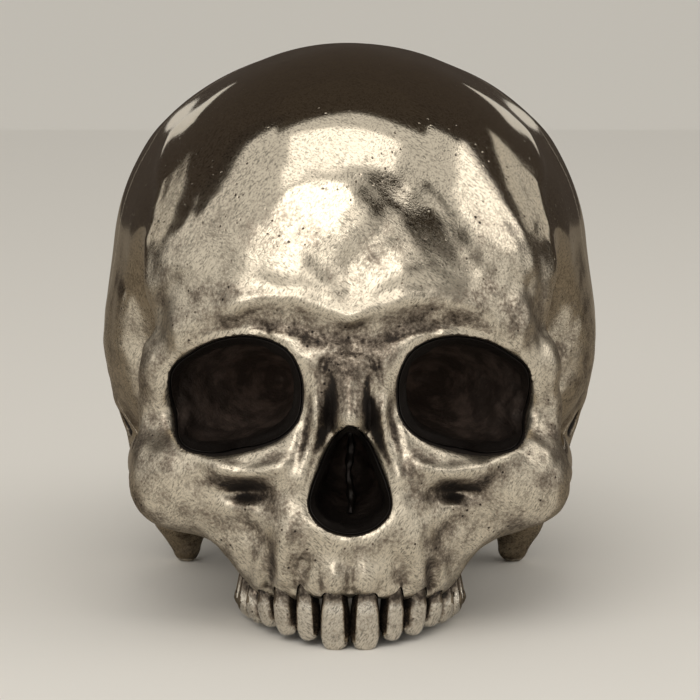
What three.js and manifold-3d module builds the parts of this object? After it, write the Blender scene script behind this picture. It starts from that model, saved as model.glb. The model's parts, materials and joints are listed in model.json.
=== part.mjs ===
// A life-size human skull without its lower jaw, cast in metal as a holiday decoration. The hollow casting
// comes apart into a face shell, a rear shell and a screwed-on base. The eye sockets and the nose are lined
// with blackened cups, and the cheek arches and the fourteen teeth are castings of their own.
//
// The form is a field of distances: masses of bone that flow into each other, less the hollows between
// them. It is drawn in the ear-to-eye frame, where x runs across the skull, y from the face to the back and
// z up, with the origin midway between the ear holes. Places and radii in it are shares of half the skull's
// breadth, half its length, and the height of its crown above the ear holes. The finished skull is then
// tipped back until it stands on its two front teeth and its two mastoids. The face looks towards -y, so
// its left side is at +x.
import * as THREE from "three";
import { mergeVertices } from "three/addons/utils/BufferGeometryUtils.js";
import Module from "manifold-3d";

const wasm = await Module();
wasm.setup();

// The whole skull, in millimetres.
const skullBreadth = 144;
const skullLength = 182;
const crownHeight = 114;
const wall = 4;
const fitGap = 0.3;
const cutOverrun = 30;

// Eye sockets and the cups that line them.
const orbitWidth = 35.2;
const orbitHeight = 31.6;
const orbitSpacing = 60.6;
const orbitRise = 16.2;
const orbitDepth = 44;
const orbitStraight = 8.8;
const noseStraight = 4;
const cupWall = 2;
const cupSetback = 3;

// Nose opening, its cup and the plate that divides it.
const noseWidth = 22;
const noseHeight = 29;
const noseDepth = 36;
const noseCupWall = 1.6;
const septumThickness = 2;
const septumSetback = 9;

// Dental arch and teeth.
const archWidth = 59;
const archDepth = 46.5;
const toothWidth = 7.8;
const toothDepth = 7;
const toothGap = 1;
const crownLength = 16.8;
const baseClearance = 8.6;
const rootLength = 9;

// Mastoids, cheek arches, ear holes and the hole under the skull.
const mastoidDrop = 40;
const mastoidTipRadius = 4.2;
const footFlat = 0.5;
const cheekArchHeight = 10.5;
const cheekArchThickness = 6;
const earHoleDiameter = 7;
const foramenDiameter = 31;

// Screws that hold the base, and dowels that line up the two shells.
const screwDiameter = 4;
const screwLength = 16;
const screwSeat = 5;
const screwHeadDiameter = 7.6;
const screwHeadHeight = 2.6;
const screwSocketWidth = 2.5;
const frontScrewInset = 14.5;
const bossDiameter = 10.5;
const bossHeight = 12;
const dowelDiameter = 4;
const dowelLength = 15;
const dowelBossDiameter = 9;
const dowelBossLength = 18;
const pinFit = 0.15;

// How finely each surface is faceted.
const skinStep = 5;
const hollowStep = 15;
const loopSegments = 22;
const roundSegments = 14;
const toothSegments = 10;
const archSteps = 10;
const settleRounds = 6;
const toothPlaceSteps = 400;
const reachRounds = 24;

const halfBreadth = skullBreadth / 2;
const halfLength = skullLength / 2;
const half = new THREE.Vector3(halfBreadth, halfLength, crownHeight);

// Where the casting is parted: shares of half the length and the crown's height. The base starts behind the
// dental arch, which reaches forward by a share of half the length.
const seamShare = -0.02;
const baseShare = -0.04;
const archFrontShare = 1.0055;
const seamY = seamShare * halfLength;
const baseZ = baseShare * crownHeight;
const baseFrontY = archDepth - archFrontShare * halfLength + baseClearance;

// Masses of the braincase: blend share of half the breadth, centre shares, radius shares.
const vaultShares = [
  [0.14, [0, 0.02, 0.44], [0.92, 0.965, 0.555]], // vault
  [0.19, [0.33, 0.28, 0.46], [0.625, 0.56, 0.44]], // parietal bulges
  [0.22, [0, -0.45, 0.52], [0.66, 0.49, 0.4]], // forehead
  [0.125, [0.55, 0.08, 0.235], [0.455, 0.48, 0.31]], // temples
  [0.22, [0, 0.62, 0.25], [0.74, 0.39, 0.32]], // back of the head
  [0.17, [0.27, 0.44, -0.04], [0.36, 0.36, 0.18]], // nape
  [0.17, [0, 0, -0.04], [0.42, 0.5, 0.15]], // underside
  [0.14, [0.52, 0.1, -0.06], [0.28, 0.26, 0.14]], // mastoid roots
];
const orbitWallShares = [0.14, [0.4, -0.5, 0.1], [0.27, 0.3, 0.24]];
const templeHollowShares = [0.1, [0.9, -0.5, 0.17], [0.235, 0.27, 0.33]];
const cheekHollowShares = [0.14, [0.44, -1.08, -0.15], [0.12, 0.12, 0.08]];
const palateShares = [0.07, [0, -0.66, -0.4], [0.26, 0.28, 0.165]];

// The temporal line in the side view, as y and z shares. Its height and width are shares of half the
// breadth, and so are the distances from the middle between which it rises.
const templeLineShares = [[-0.69, 0.24], [-0.7, 0.36], [-0.66, 0.5], [-0.52, 0.66], [-0.25, 0.76]];
const templeLineHeightShare = 0.02;
const templeLineWidthShare = 0.1;
const templeLineRiseShares = [0.42, 0.7];

// Rounded masses of the face in the same way.
const faceBallShares = [
  [0.19, [0.29, -0.64, 0.41], [0.45, 0.3, 0.22]], // lower forehead, behind the brow
  [0.125, [0, -0.885, 0.25], [0.28, 0.13, 0.1]], // brow between the eyes
  [0.11, [0.59, -0.75, -0.08], [0.21, 0.14, 0.105]], // cheekbones
  [0.125, [0.22, -0.78, -0.13], [0.25, 0.235, 0.19]], // upper jaw
];

// Bars of bone: blend share, then x, y, z and radius shares of each point that the bar runs through.
const barShares = [
  [0.125, [0.06, -0.925, 0.235, 0.09], [0.2, -0.92, 0.29, 0.085], [0.4, -0.88, 0.34, 0.07],
    [0.52, -0.83, 0.345, 0.045]], // brow ridge
  [0.1, [0.17, -0.9, 0.235, 0.075], [0.26, -0.905, 0.305, 0.075], [0.4, -0.9, 0.335, 0.08],
    [0.58, -0.82, 0.295, 0.09], [0.685, -0.72, 0.19, 0.085]], // upper rim of the eye socket
  [0.1, [0.685, -0.72, 0.19, 0.085], [0.715, -0.69, 0.11, 0.08], [0.7, -0.72, 0, 0.1],
    [0.66, -0.75, -0.06, 0.14]], // pillar beside the eye socket
  [0.1, [0.71, -0.68, -0.065, 0.1], [0.76, -0.6, -0.07, 0.085]], // cheekbone's seat for the arch
  [0.11, [0.19, -0.885, 0.06, 0.075], [0.29, -0.915, -0.01, 0.075], [0.46, -0.9, -0.045, 0.08],
    [0.62, -0.8, -0.02, 0.09]], // lower rim of the eye socket
  [0.11, [0.09, -0.91, 0.25, 0.1], [0.12, -0.925, 0.1, 0.09], [0.2, -0.955, -0.04, 0.07],
    [0.25, -0.94, -0.14, 0.075]], // sides of the nose
  [0.11, [0, -0.93, 0.25, 0.1], [0, -0.97, 0.17, 0.085], [0, -1.03, 0.1, 0.07]], // nose bridge
  [0.1, [0, -0.8, 0.12, 0.17], [0, -0.6, -0.02, 0.2]], // core behind the nose
  [0.125, [0.62, -0.74, -0.095, 0.09], [0.5, -0.77, -0.125, 0.09], [0.4, -0.78, -0.175, 0.085],
    [0.345, -0.78, -0.235, 0.075]], // crest from the cheekbone down to the jaw
  [0.125, [0.74, 0.12, 0.06, 0.19], [0.72, 0.13, -0.12, 0.155], [0.695, 0.135, -0.22, 0.1]], // mastoids
  [0.07, [0.2, 0.08, -0.2, 0.075], [0.27, 0.2, -0.21, 0.075]], // condyles
  [0.083, [0.2, -0.42, -0.1, 0.09], [0.26, -0.46, -0.3, 0.05]], // pterygoid plates
];
const barJoinShare = 0.02;
const foldShare = 0.028;

// The gum ridge: two bars that follow the dental arch, one under the other. Height and radius shares are
// given at the front and at the last molar, and the bars lie inside the arch by shares of half the breadth.
// The gums lie under the ears by a share of the crown's height.
const gumRowShares = [
  { blend: 0.14, height: [-0.175, -0.237], radius: [0.118, 0.09], inward: [0.118, 0.065], count: 9 },
  { blend: 0.083, height: [-0.272, -0.307], radius: [0.075, 0.075], inward: [0.07, 0.035], count: 10 },
];
const gumEndAngle = 1.47;
const gumDropShare = 0.3;

// The ridge that each root raises on the jaw: its blend as a share of half the breadth, how far its ends
// lie inside the arch as shares of the tooth width, how its top turns towards the middle, its height as a
// share of the crown's length, and its radii as shares of the tooth's own width.
const rootBlendShare = 0.035;
const rootInwardShares = [0.62, 1];
const rootTurnShare = 0.97;
const rootRiseShare = 0.85;
const rootRadiusShares = [0.36, 0.22];

// The lower part of the mastoids, and the cheek arch between the cheekbone and the temple: x, y, z shares.
const mastoidMidShares = [0.705, 0.132, -0.18, 0.115];
const mastoidTipShares = [0.675, 0.14];
const cheekArchShares = [
  [0.745, -0.62, -0.07], [0.8, -0.46, -0.07], [0.835, -0.3, -0.06], [0.835, -0.16, -0.045],
  [0.8, -0.06, -0.025],
];
const cheekArchSwellShare = 0.25;
const earHoleRiseShare = 0.02;
const foramenShare = 0.24;

// Radii of the two openings at equal steps round them, as shares of their half width and half height, and
// how they change with depth. Their fronts are shares of half the length, and the nose's height is one of
// the crown's.
const orbitShares = [
  0.93, 1.06, 0.975, 0.963, 0.988, 1.045, 1.1, 1.05, 1.005, 1.01, 0.96, 0.91, 0.951, 1.065, 1.19, 1.03,
];
const orbitEndShare = 0.93;
const orbitTaperShare = 0.75;
const orbitTaperPower = 1.5;
const orbitInwardShare = 0.4;
const orbitRiseShare = 0.06;
const orbitFrontShare = -0.88;
const noseHalfShares = [0.883, 0.91, 0.995, 1.06, 0.9, 0.8, 0.825, 0.94, 1.117];
const noseTaperShare = 0.3;
const noseRiseShare = 0.12;
const noseFrontShares = [-0.99, -0.0614];
const holeDepthShares = [0, 0.1, 0.2, 0.35, 0.6, 0.8, 0.93, 1];
const holeRoundedShare = 0.84;
const holeEndShare = 0.2;
const holeStepShare = 0.01;

// Room that the hollow leaves round the eye sockets, the nose and the face: radii at the front, the middle
// and the end, as shares of their sizes.
const orbitGuardShares = [0.56, 0.52, 0.32];
const noseGuardShares = [0.5, 0.5, 0.4];
const hollowFrontShare = -0.84;

// Teeth from the middle outwards: name, then shares of the tooth width, tooth depth and crown length.
const toothShares = [
  { name: "central_incisor", width: 1, depth: 1, gum: 0, tip: 1 },
  { name: "lateral_incisor", width: 0.84, depth: 0.91, gum: 0, tip: 0.87 },
  { name: "canine", width: 0.96, depth: 1.1, gum: 0, tip: 0.83 },
  { name: "first_premolar", width: 0.89, depth: 1.12, gum: 0.12, tip: 0.75 },
  { name: "second_premolar", width: 0.87, depth: 1.16, gum: 0.2, tip: 0.755 },
  { name: "first_molar", width: 1.2, depth: 1.24, gum: 0.28, tip: 0.74 },
  { name: "second_molar", width: 1.13, depth: 1.24, gum: 0.34, tip: 0.675 },
];
const toothInwardShare = 0.16;
// A tooth's outline from the root's end to the biting edge: height, width and depth shares.
const toothProfileShares = [
  [-1, 0.36, 0.42], [0, 0.8, 0.92], [0.35, 0.95, 1], [0.7, 1, 0.78], [0.9, 0.97, 0.55], [1, 0.78, 0.32],
];

// The lattice round the skull: where it starts, and the ends of its stretches with the step in each as a
// share of the finest. It stretches a little past the skull.
const pastShare = 1.05;
const acrossLatticeShares = [[0.5, 1], [pastShare, 1.4]];
const alongLatticeShares = [[-0.58, 1], [0.25, 1.6], [pastShare, 3]];
const upLatticeShares = [[0.4, 1], [pastShare, 2.6]];
const frontLatticeShare = -1.15;
const lowLatticeShare = -0.5;
const slopeStepShare = 0.002;
const leastSlopeShare = 0.25;
const settleShare = 0.05;
const cellRimShare = 0.02;

// Places of the screws and dowels, as shares of half the length, of a boss's diameter and of the crown.
const rearScrewShare = 0.5;
const screwInsetShare = 0.28;
const sideDowelShare = 0.44;
const dowelInsetShare = 0.25;
const roundedEndShares = [0.9, 0.5];

const castMetal = material(0x9c9180, 0.3, 1);
const darkMetal = material(0x1d1a17, 0.55, 0.8);
const toothMetal = material(0xa79c88, 0.28, 1);
const screwSteel = material(0x55565a, 0.35, 1);

function material(color, roughness, metalness) {
  return new THREE.MeshStandardMaterial({ color, roughness, metalness });
}

// Smooth least of two distances: they blend where they differ by less than the reach.
function joined(a, b, reach) {
  const near = Math.max(reach - Math.abs(a - b), 0);
  return near > 0 ? Math.min(a, b) - (near * near) / reach / 4 : Math.min(a, b);
}

function carved(a, b, reach) {
  return -joined(-a, b, reach);
}

// A mass of bone: how softly it blends with the rest, where it lies, and its three radii.
function ball([blend, centre, radii]) {
  return {
    blend: blend * halfBreadth,
    centre: new THREE.Vector3(...centre).multiply(half),
    radii: new THREE.Vector3(...radii).multiply(half),
  };
}

// Distance to an ellipsoid, near enough close to its surface.
function ballDistance(p, { centre, radii }) {
  const x = (p.x - centre.x) / radii.x;
  const y = (p.y - centre.y) / radii.y;
  const z = (p.z - centre.z) / radii.z;
  const inside = Math.hypot(x, y, z);
  const slope = Math.hypot(x / radii.x, y / radii.y, z / radii.z);
  return (inside * (inside - 1)) / Math.max(slope, Number.EPSILON);
}

function bar(blend, points) {
  return { blend: blend * halfBreadth, points };
}

function barPoint([x, y, z, radius]) {
  return { place: new THREE.Vector3(x, y, z).multiply(half), radius: radius * halfBreadth };
}

// Distance to a bar that runs through points, with a radius at each point.
function barDistance(p, points) {
  const reach = barJoinShare * halfBreadth;
  let least = Infinity;
  for (let i = 1; i < points.length; i += 1) {
    const a = points[i - 1];
    const b = points[i];
    const [ax, ay, az] = [b.place.x - a.place.x, b.place.y - a.place.y, b.place.z - a.place.z];
    const [px, py, pz] = [p.x - a.place.x, p.y - a.place.y, p.z - a.place.z];
    const along = (px * ax + py * ay + pz * az) / (ax * ax + ay * ay + az * az);
    const t = Math.min(Math.max(along, 0), 1);
    const radius = THREE.MathUtils.lerp(a.radius, b.radius, t);
    least = joined(least, Math.hypot(px - t * ax, py - t * ay, pz - t * az) - radius, reach);
  }
  return least;
}

// Smooth reading of a table of shares at equal steps round a turn.
function readRound(table, angle) {
  const count = table.length;
  const place = (((angle / (2 * Math.PI)) % 1) + 1) * count;
  const i = Math.floor(place);
  const f = place - i;
  const [a, b, c, d] = [-1, 0, 1, 2].map((step) => table[(i + step + count) % count]);
  return b + (f * (c - a + f * (2 * a - 5 * b + 4 * c - d + f * (3 * (b - c) + d - a)))) / 2;
}

// A point of the dental arch, seen from above: half an ellipse, drawn in by separate amounts across and
// along.
function archPlace(angle, inwardX = 0, inwardY = inwardX) {
  return [
    (archWidth / 2 - inwardX) * Math.sin(angle),
    archDepth - archFrontShare * halfLength - (archDepth - inwardY) * Math.cos(angle),
  ];
}

// Each tooth stands beside the last one along the arch, a gap apart.
function placeTeeth() {
  const quarter = Math.PI / 2;
  const gumDrop = gumDropShare * crownHeight;
  const made = [];
  let target = (toothGap + toothShares[0].width * toothWidth) / 2;
  let run = 0;
  for (let i = 1; i <= toothPlaceSteps && made.length < toothShares.length; i += 1) {
    const [x0, y0] = archPlace(((i - 1) / toothPlaceSteps) * quarter);
    const [x1, y1] = archPlace((i / toothPlaceSteps) * quarter);
    run += Math.hypot(x1 - x0, y1 - y0);
    if (run < target) continue;
    const shares = toothShares[made.length];
    const next = toothShares[made.length + 1];
    made.push({
      name: shares.name,
      angle: (i / toothPlaceSteps) * quarter,
      width: shares.width * toothWidth,
      depth: shares.depth * toothDepth,
      gum: -gumDrop - shares.gum * crownLength,
      tip: -gumDrop - shares.tip * crownLength,
    });
    if (next) target += toothGap + ((shares.width + next.width) * toothWidth) / 2;
  }
  return made;
}
const teeth = placeTeeth();

function gumBar({ height, radius, inward, count }) {
  return Array.from({ length: count }, (_, i) => {
    const t = i / (count - 1);
    const [x, y] = archPlace(gumEndAngle * t, inward[0] * halfBreadth, inward[1] * halfBreadth);
    const z = THREE.MathUtils.lerp(...height, t) * crownHeight;
    return { place: new THREE.Vector3(x, y, z), radius: THREE.MathUtils.lerp(...radius, t) * halfBreadth };
  });
}

function rootRidge({ angle, gum, width }) {
  const [lowRadius, highRadius] = rootRadiusShares.map((share) => share * width);
  const low = archPlace(angle, rootInwardShares[0] * toothWidth);
  const high = archPlace(angle * rootTurnShare, rootInwardShares[1] * toothWidth);
  return [
    { place: new THREE.Vector3(...low, gum), radius: lowRadius },
    { place: new THREE.Vector3(...high, gum + rootRiseShare * crownLength), radius: highRadius },
  ];
}

const vaultBalls = vaultShares.map(ball);
const orbitWall = ball(orbitWallShares);
const templeHollow = ball(templeHollowShares);
const faceBalls = faceBallShares.map(ball);
const openHollows = [ball(cheekHollowShares), ball(palateShares)];
const bars = [
  ...barShares.map(([blend, ...points]) => bar(blend, points.map(barPoint))),
  ...gumRowShares.map((row) => bar(row.blend, gumBar(row))),
  ...teeth.map((tooth) => bar(rootBlendShare, rootRidge(tooth))),
];
const templeLine = templeLineShares.map(([y, z]) => new THREE.Vector2(y * halfLength, z * crownHeight));

// Height of the temporal line under a point: a low swell that fades across its width, on the sides only.
function templeLineHeight(p) {
  let nearest = Infinity;
  const flat = new THREE.Vector2(p.y, p.z);
  for (let i = 1; i < templeLine.length; i += 1) {
    const along = templeLine[i].clone().sub(templeLine[i - 1]);
    const offset = flat.clone().sub(templeLine[i - 1]);
    const t = THREE.MathUtils.clamp(offset.dot(along) / along.lengthSq(), 0, 1);
    nearest = Math.min(nearest, offset.addScaledVector(along, -t).length());
  }
  const [from, to] = templeLineRiseShares;
  const beside = THREE.MathUtils.clamp((p.x / halfBreadth - from) / (to - from), 0, 1);
  const fade = nearest / (templeLineWidthShare * halfBreadth);
  return templeLineHeightShare * halfBreadth * beside * Math.exp(-fade * fade);
}

// The same point on the left half, with the fold at the middle rounded off.
function folded(p) {
  return new THREE.Vector3(Math.hypot(p.x, foldShare * halfBreadth), p.y, p.z);
}

function vaultForm(q) {
  return vaultBalls.reduce((d, mass) => joined(d, ballDistance(q, mass), mass.blend), Infinity);
}

// The skull's outer form, before the holes are cut.
function skullForm(p) {
  const q = folded(p);
  let d = joined(vaultForm(q), ballDistance(q, orbitWall), orbitWall.blend);
  d = carved(d, ballDistance(q, templeHollow), templeHollow.blend) - templeLineHeight(q);
  for (const mass of faceBalls) d = joined(d, ballDistance(q, mass), mass.blend);
  for (const { blend, points } of bars) d = joined(d, barDistance(q, points), blend);
  for (const open of openHollows) d = carved(d, ballDistance(q, open), open.blend);
  return d;
}

// The room round a hole, from its front to its end, that the hollow of the braincase keeps out of.
function guardOf(front, end, size, shares) {
  const places = [front, front.clone().add(end).divideScalar(2), end];
  return places.map((place, i) => ({ place, radius: shares[i] * size + wall }));
}
const orbitFront = new THREE.Vector3(orbitSpacing / 2, orbitFrontShare * halfLength, orbitRise);
const noseFront = new THREE.Vector3(0, ...noseFrontShares).multiply(half);
const orbitWay = new THREE.Vector3(-orbitInwardShare, 1, orbitRiseShare);
const noseWay = new THREE.Vector3(0, 1, noseRiseShare);
const orbitEnd = orbitFront.clone().addScaledVector(orbitWay, orbitDepth);
const noseEnd = noseFront.clone().addScaledVector(noseWay, noseDepth);
const guards = [
  guardOf(orbitFront, orbitEnd, orbitWidth, orbitGuardShares),
  guardOf(noseFront, noseEnd, noseHeight, noseGuardShares),
];

// The hollow of the braincase: a wall's thickness inside it, inside the temples and round the eye sockets
// and the nose.
function hollowForm(p) {
  const q = folded(p);
  let d = carved(vaultForm(q) + wall, ballDistance(q, templeHollow) - wall, templeHollow.blend);
  for (const guard of guards) d = carved(d, barDistance(q, guard), wall);
  return Math.max(d, hollowFrontShare * halfLength - p.y);
}

// The slope of a form at a point: the way out of it.
function slopeAt(form, p, here) {
  const step = slopeStepShare * halfBreadth;
  return new THREE.Vector3(
    form(new THREE.Vector3(p.x + step, p.y, p.z)) - here,
    form(new THREE.Vector3(p.x, p.y + step, p.z)) - here,
    form(new THREE.Vector3(p.x, p.y, p.z + step)) - here,
  ).divideScalar(step);
}

// Moves a point along the slope onto the surface, by no more than a small step.
function settle(form, p) {
  const here = form(p);
  const slope = slopeAt(form, p, here);
  const most = settleShare * halfBreadth;
  const way = -here / Math.max(slope.lengthSq(), leastSlopeShare);
  return p.addScaledVector(slope, THREE.MathUtils.clamp(way, -most, most));
}

// Places of a lattice's planes, in stretches that each have a step of their own.
function latticePlaces(low, stretches, size, step) {
  const places = [low];
  for (const [until, share] of stretches) {
    while (places[places.length - 1] < until * size) places.push(places[places.length - 1] + share * step);
  }
  return places;
}

// A lattice round the whole skull, alike on both sides of the middle plane.
function skullLattice(step, across, along, up) {
  const left = latticePlaces(step / 2, across, halfBreadth, step);
  return [
    [...left.map((x) => -x).reverse(), ...left],
    latticePlaces(frontLatticeShare * halfLength, along, halfLength, step),
    latticePlaces(lowLatticeShare * crownHeight, up, crownHeight, step),
  ];
}

// A closed surface where a form's distance is zero. Each lattice cell that the surface crosses holds one
// point, and each lattice edge that it crosses becomes a face between the four cells round it.
function netGeometry(form, [xs, ys, zs]) {
  const size = [xs.length, ys.length, zs.length];
  const id = (c) => (c[0] * size[1] + c[1]) * size[2] + c[2];
  const place = (c) => new THREE.Vector3(xs[c[0]], ys[c[1]], zs[c[2]]);
  const moved = (c, by, ...axes) => c.map((value, axis) => (axes.includes(axis) ? value + by : value));
  const nodes = xs.flatMap((_, i) => ys.flatMap((__, j) => zs.map((___, k) => [i, j, k])));
  const field = nodes.map((c) => form(place(c)));
  const inside = (c) => field[id(c)] < 0;
  const fits = (c, axes) => axes.every((axis) => c[axis] + 1 < size[axis]);

  // Where only two opposite corners of a lattice square lie inside, the other corner nearest to the surface
  // is counted as inside too, so that no two sheets of the surface share an edge.
  for (let turned = 1; turned > 0; ) {
    turned = 0;
    for (const c of nodes) {
      for (const axes of [[0, 1], [1, 2], [0, 2]]) {
        if (!fits(c, axes)) continue;
        const corners = [c, moved(c, 1, axes[0]), moved(c, 1, ...axes), moved(c, 1, axes[1])];
        const [first, second, third, fourth] = corners.map(inside);
        if (first !== third || second !== fourth || first === second) continue;
        const outer = corners.filter((corner) => !inside(corner)).map(id);
        field[field[outer[0]] < field[outer[1]] ? outer[0] : outer[1]] = -Number.EPSILON;
        turned += 1;
      }
    }
  }

  // A cell's point starts in the middle of the places where the surface crosses the cell's edges.
  const points = [];
  const cells = [];
  const pointOf = new Map();
  const cellPoint = (c) => {
    if (pointOf.has(id(c))) return pointOf.get(id(c));
    const crossings = [];
    for (let axis = 0; axis < 3; axis += 1) {
      const [b, d] = [0, 1, 2].filter((one) => one !== axis);
      for (const from of [c, moved(c, 1, b), moved(c, 1, d), moved(c, 1, b, d)]) {
        const to = moved(from, 1, axis);
        const share = field[id(from)] / (field[id(from)] - field[id(to)]);
        if (inside(from) !== inside(to)) crossings.push(place(from).lerp(place(to), share));
      }
    }
    const sum = crossings.reduce((a, b) => a.add(b), new THREE.Vector3());
    points.push(sum.divideScalar(crossings.length));
    const [low, high] = [place(c), place(moved(c, 1, 0, 1, 2))];
    const rim = high.clone().sub(low).multiplyScalar(cellRimShare);
    cells.push({ low: low.add(rim), high: high.sub(rim), near: [] });
    pointOf.set(id(c), points.length - 1);
    return points.length - 1;
  };
  const loops = [];
  for (const c of nodes) {
    for (let axis = 0; axis < 3; axis += 1) {
      const [b, d] = [(axis + 1) % 3, (axis + 2) % 3];
      if (c[b] < 1 || c[d] < 1 || !fits(c, [axis]) || inside(c) === inside(moved(c, 1, axis))) continue;
      const loop = [moved(c, -1, b, d), moved(c, -1, d), c, moved(c, -1, b)].map(cellPoint);
      if (!inside(c)) loop.reverse();
      loops.push(loop);
      loop.forEach((point, i) => cells[point].near.push(loop[(i + 1) % 4]));
    }
  }

  // The points even out among their neighbours and settle on the surface, each within its own cell.
  for (let round = 0; round < settleRounds; round += 1) {
    const before = points.map((point) => point.clone());
    points.forEach((point, i) => {
      for (const other of cells[i].near) point.addScaledVector(before[other], 1 / cells[i].near.length);
      settle(form, point.divideScalar(2)).clamp(cells[i].low, cells[i].high);
    });
  }
  const index = loops.flatMap(([p, q, r, s]) => {
    const even = points[p].distanceTo(points[r]) < points[q].distanceTo(points[s]);
    return even ? [p, q, r, p, r, s] : [q, r, s, q, s, p];
  });
  return new THREE.BufferGeometry().setFromPoints(points).setIndex(index);
}

function middleOf(loop) {
  return loop.reduce((sum, p) => sum.add(p), new THREE.Vector3()).divideScalar(loop.length);
}

// A closed tube through loops of points, each end closed by a point in its middle.
function loopGeometry(loops) {
  const count = loops[0].length;
  const points = [middleOf(loops[0]), ...loops.flat(), middleOf(loops[loops.length - 1])];
  const at = (i, j) => 1 + i * count + (j % count);
  const index = [];
  for (let j = 0; j < count; j += 1) {
    index.push(0, at(0, j), at(0, j + 1));
    for (let i = 0; i < loops.length - 1; i += 1) {
      index.push(at(i, j), at(i + 1, j), at(i + 1, j + 1), at(i, j), at(i + 1, j + 1), at(i, j + 1));
    }
    index.push(at(loops.length - 1, j), points.length - 1, at(loops.length - 1, j + 1));
  }
  return new THREE.BufferGeometry().setFromPoints(points).setIndex(index);
}

function solid(geometry) {
  const bare = geometry.clone();
  bare.deleteAttribute("normal");
  bare.deleteAttribute("uv");
  const merged = mergeVertices(bare);
  const vertProperties = merged.attributes.position.array;
  const triVerts = new Uint32Array(merged.index.array);
  const made = new wasm.Manifold(new wasm.Mesh({ numProp: 3, vertProperties, triVerts }));
  if (made.volume() > 0) return made;
  // The loops ran the other way round, so each face is turned to point out.
  triVerts.reverse();
  return new wasm.Manifold(new wasm.Mesh({ numProp: 3, vertProperties, triVerts }));
}

function boxSolid(low, high) {
  const geometry = new THREE.BoxGeometry(...high.clone().sub(low));
  geometry.translate(...low.clone().add(high).divideScalar(2));
  return solid(geometry);
}

// A cylinder between two points.
function rodSolid(from, to, diameter, segments = roundSegments) {
  const along = to.clone().sub(from);
  const geometry = new THREE.CylinderGeometry(diameter / 2, diameter / 2, along.length(), segments);
  const turn = new THREE.Quaternion().setFromUnitVectors(new THREE.Vector3(0, 1, 0), along.normalize());
  geometry.applyQuaternion(turn).translate(...from.clone().add(to).divideScalar(2));
  return solid(geometry);
}

// A tapered round bar between two points, with rounded ends.
function taperSolid(from, to) {
  const axis = to.place.clone().sub(from.place).normalize();
  const turn = new THREE.Quaternion().setFromUnitVectors(new THREE.Vector3(0, 0, 1), axis);
  const loop = ({ place, radius }, lift) =>
    Array.from({ length: roundSegments }, (_, j) => {
      const angle = (2 * Math.PI * j) / roundSegments;
      const round = radius * Math.sqrt(1 - lift * lift);
      const offset = new THREE.Vector3(round * Math.cos(angle), round * Math.sin(angle), lift * radius);
      return offset.applyQuaternion(turn).add(place);
    });
  const start = roundedEndShares.map((share) => loop(from, -share));
  const finish = roundedEndShares.map((share) => loop(to, share)).reverse();
  return solid(loopGeometry([...start, loop(from, 0), loop(to, 0), ...finish]));
}

// Left and right pieces mirror each other, so a piece is made on the left and turned over for the right.
function mirrored(made) {
  return made.mirror([1, 0, 0]);
}

// Walls of an eye socket's hole and of the nose opening: the point at a depth behind the hole's front and
// an angle round it, grown all round by an amount. Both start straight. Then the eye socket narrows, turns
// towards the middle and becomes round, and the pear-shaped nose narrows a little.
function orbitPoint(back, angle, grow) {
  const inward = Math.max(back - orbitStraight, 0);
  const part = Math.min(inward / (orbitDepth - orbitStraight), 1);
  const taper = 1 - orbitTaperShare * part ** orbitTaperPower;
  const reach = THREE.MathUtils.lerp(readRound(orbitShares, angle), orbitEndShare, part) * taper;
  return new THREE.Vector3(
    orbitFront.x - orbitInwardShare * inward + ((reach * orbitWidth) / 2 + grow) * Math.cos(angle),
    orbitFront.y + back,
    orbitFront.z + orbitRiseShare * inward + ((reach * orbitHeight) / 2 + grow) * Math.sin(angle),
  );
}

// The nose's table runs round from its left side: up to the top, back down on the right, and up again.
const noseShares = [
  ...noseHalfShares.slice(4),
  ...noseHalfShares.slice(0, -1).reverse(),
  ...noseHalfShares.slice(1, 4),
];
function nosePoint(back, angle, grow) {
  const inward = Math.max(back - noseStraight, 0);
  const reach = readRound(noseShares, angle) * (1 - (noseTaperShare * inward) / noseDepth);
  return new THREE.Vector3(
    ((reach * noseWidth) / 2 + grow) * Math.cos(angle),
    noseFront.y + back,
    noseFront.z + noseRiseShare * inward + ((reach * noseHeight) / 2 + grow) * Math.sin(angle),
  );
}

// A hole's solid from its front to its rounded end. The front is flat and clear of the face, or it follows
// the face, a setback inside it, with lone peaks and dips of its edge left out.
function holeSolid(pointAt, depth, grow, followsFace = false) {
  const step = holeStepShare * depth;
  const angles = Array.from({ length: loopSegments }, (_, j) => (2 * Math.PI * j) / loopSegments);
  const fronts = angles.map((angle) => {
    let front = -cutOverrun;
    if (!followsFace) return front;
    while (skullForm(pointAt(front, angle, grow)) > -cupSetback && front < depth / 2) front += step;
    return front;
  });
  const evened = fronts.map((front, j) => {
    const [, middle] = [fronts.at(j - 1), front, fronts[(j + 1) % fronts.length]].sort((a, b) => a - b);
    return middle;
  });
  const loops = holeDepthShares.map((share, i) => {
    const backs = evened.map((front) => (i === 0 ? front : Math.max(share * depth, front + 2 * i * step)));
    const loop = angles.map((angle, j) => pointAt(backs[j], angle, grow));
    const middle = middleOf(loop);
    const past = Math.max(share - holeRoundedShare, 0) / (1 - holeRoundedShare);
    const close = Math.max(Math.sqrt(1 - past * past), holeEndShare);
    return loop.map(({ x, y, z }) => new THREE.Vector3(
      THREE.MathUtils.lerp(middle.x, x, close),
      y,
      THREE.MathUtils.lerp(middle.z, z, close),
    ));
  });
  return solid(loopGeometry(loops));
}

// A cup that lines a hole, open at the face.
function liningSolid(pointAt, depth, thickness) {
  const inner = holeSolid(pointAt, depth - fitGap - thickness, -fitGap - thickness);
  return holeSolid(pointAt, depth - fitGap, -fitGap, true).subtract(inner);
}

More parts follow.
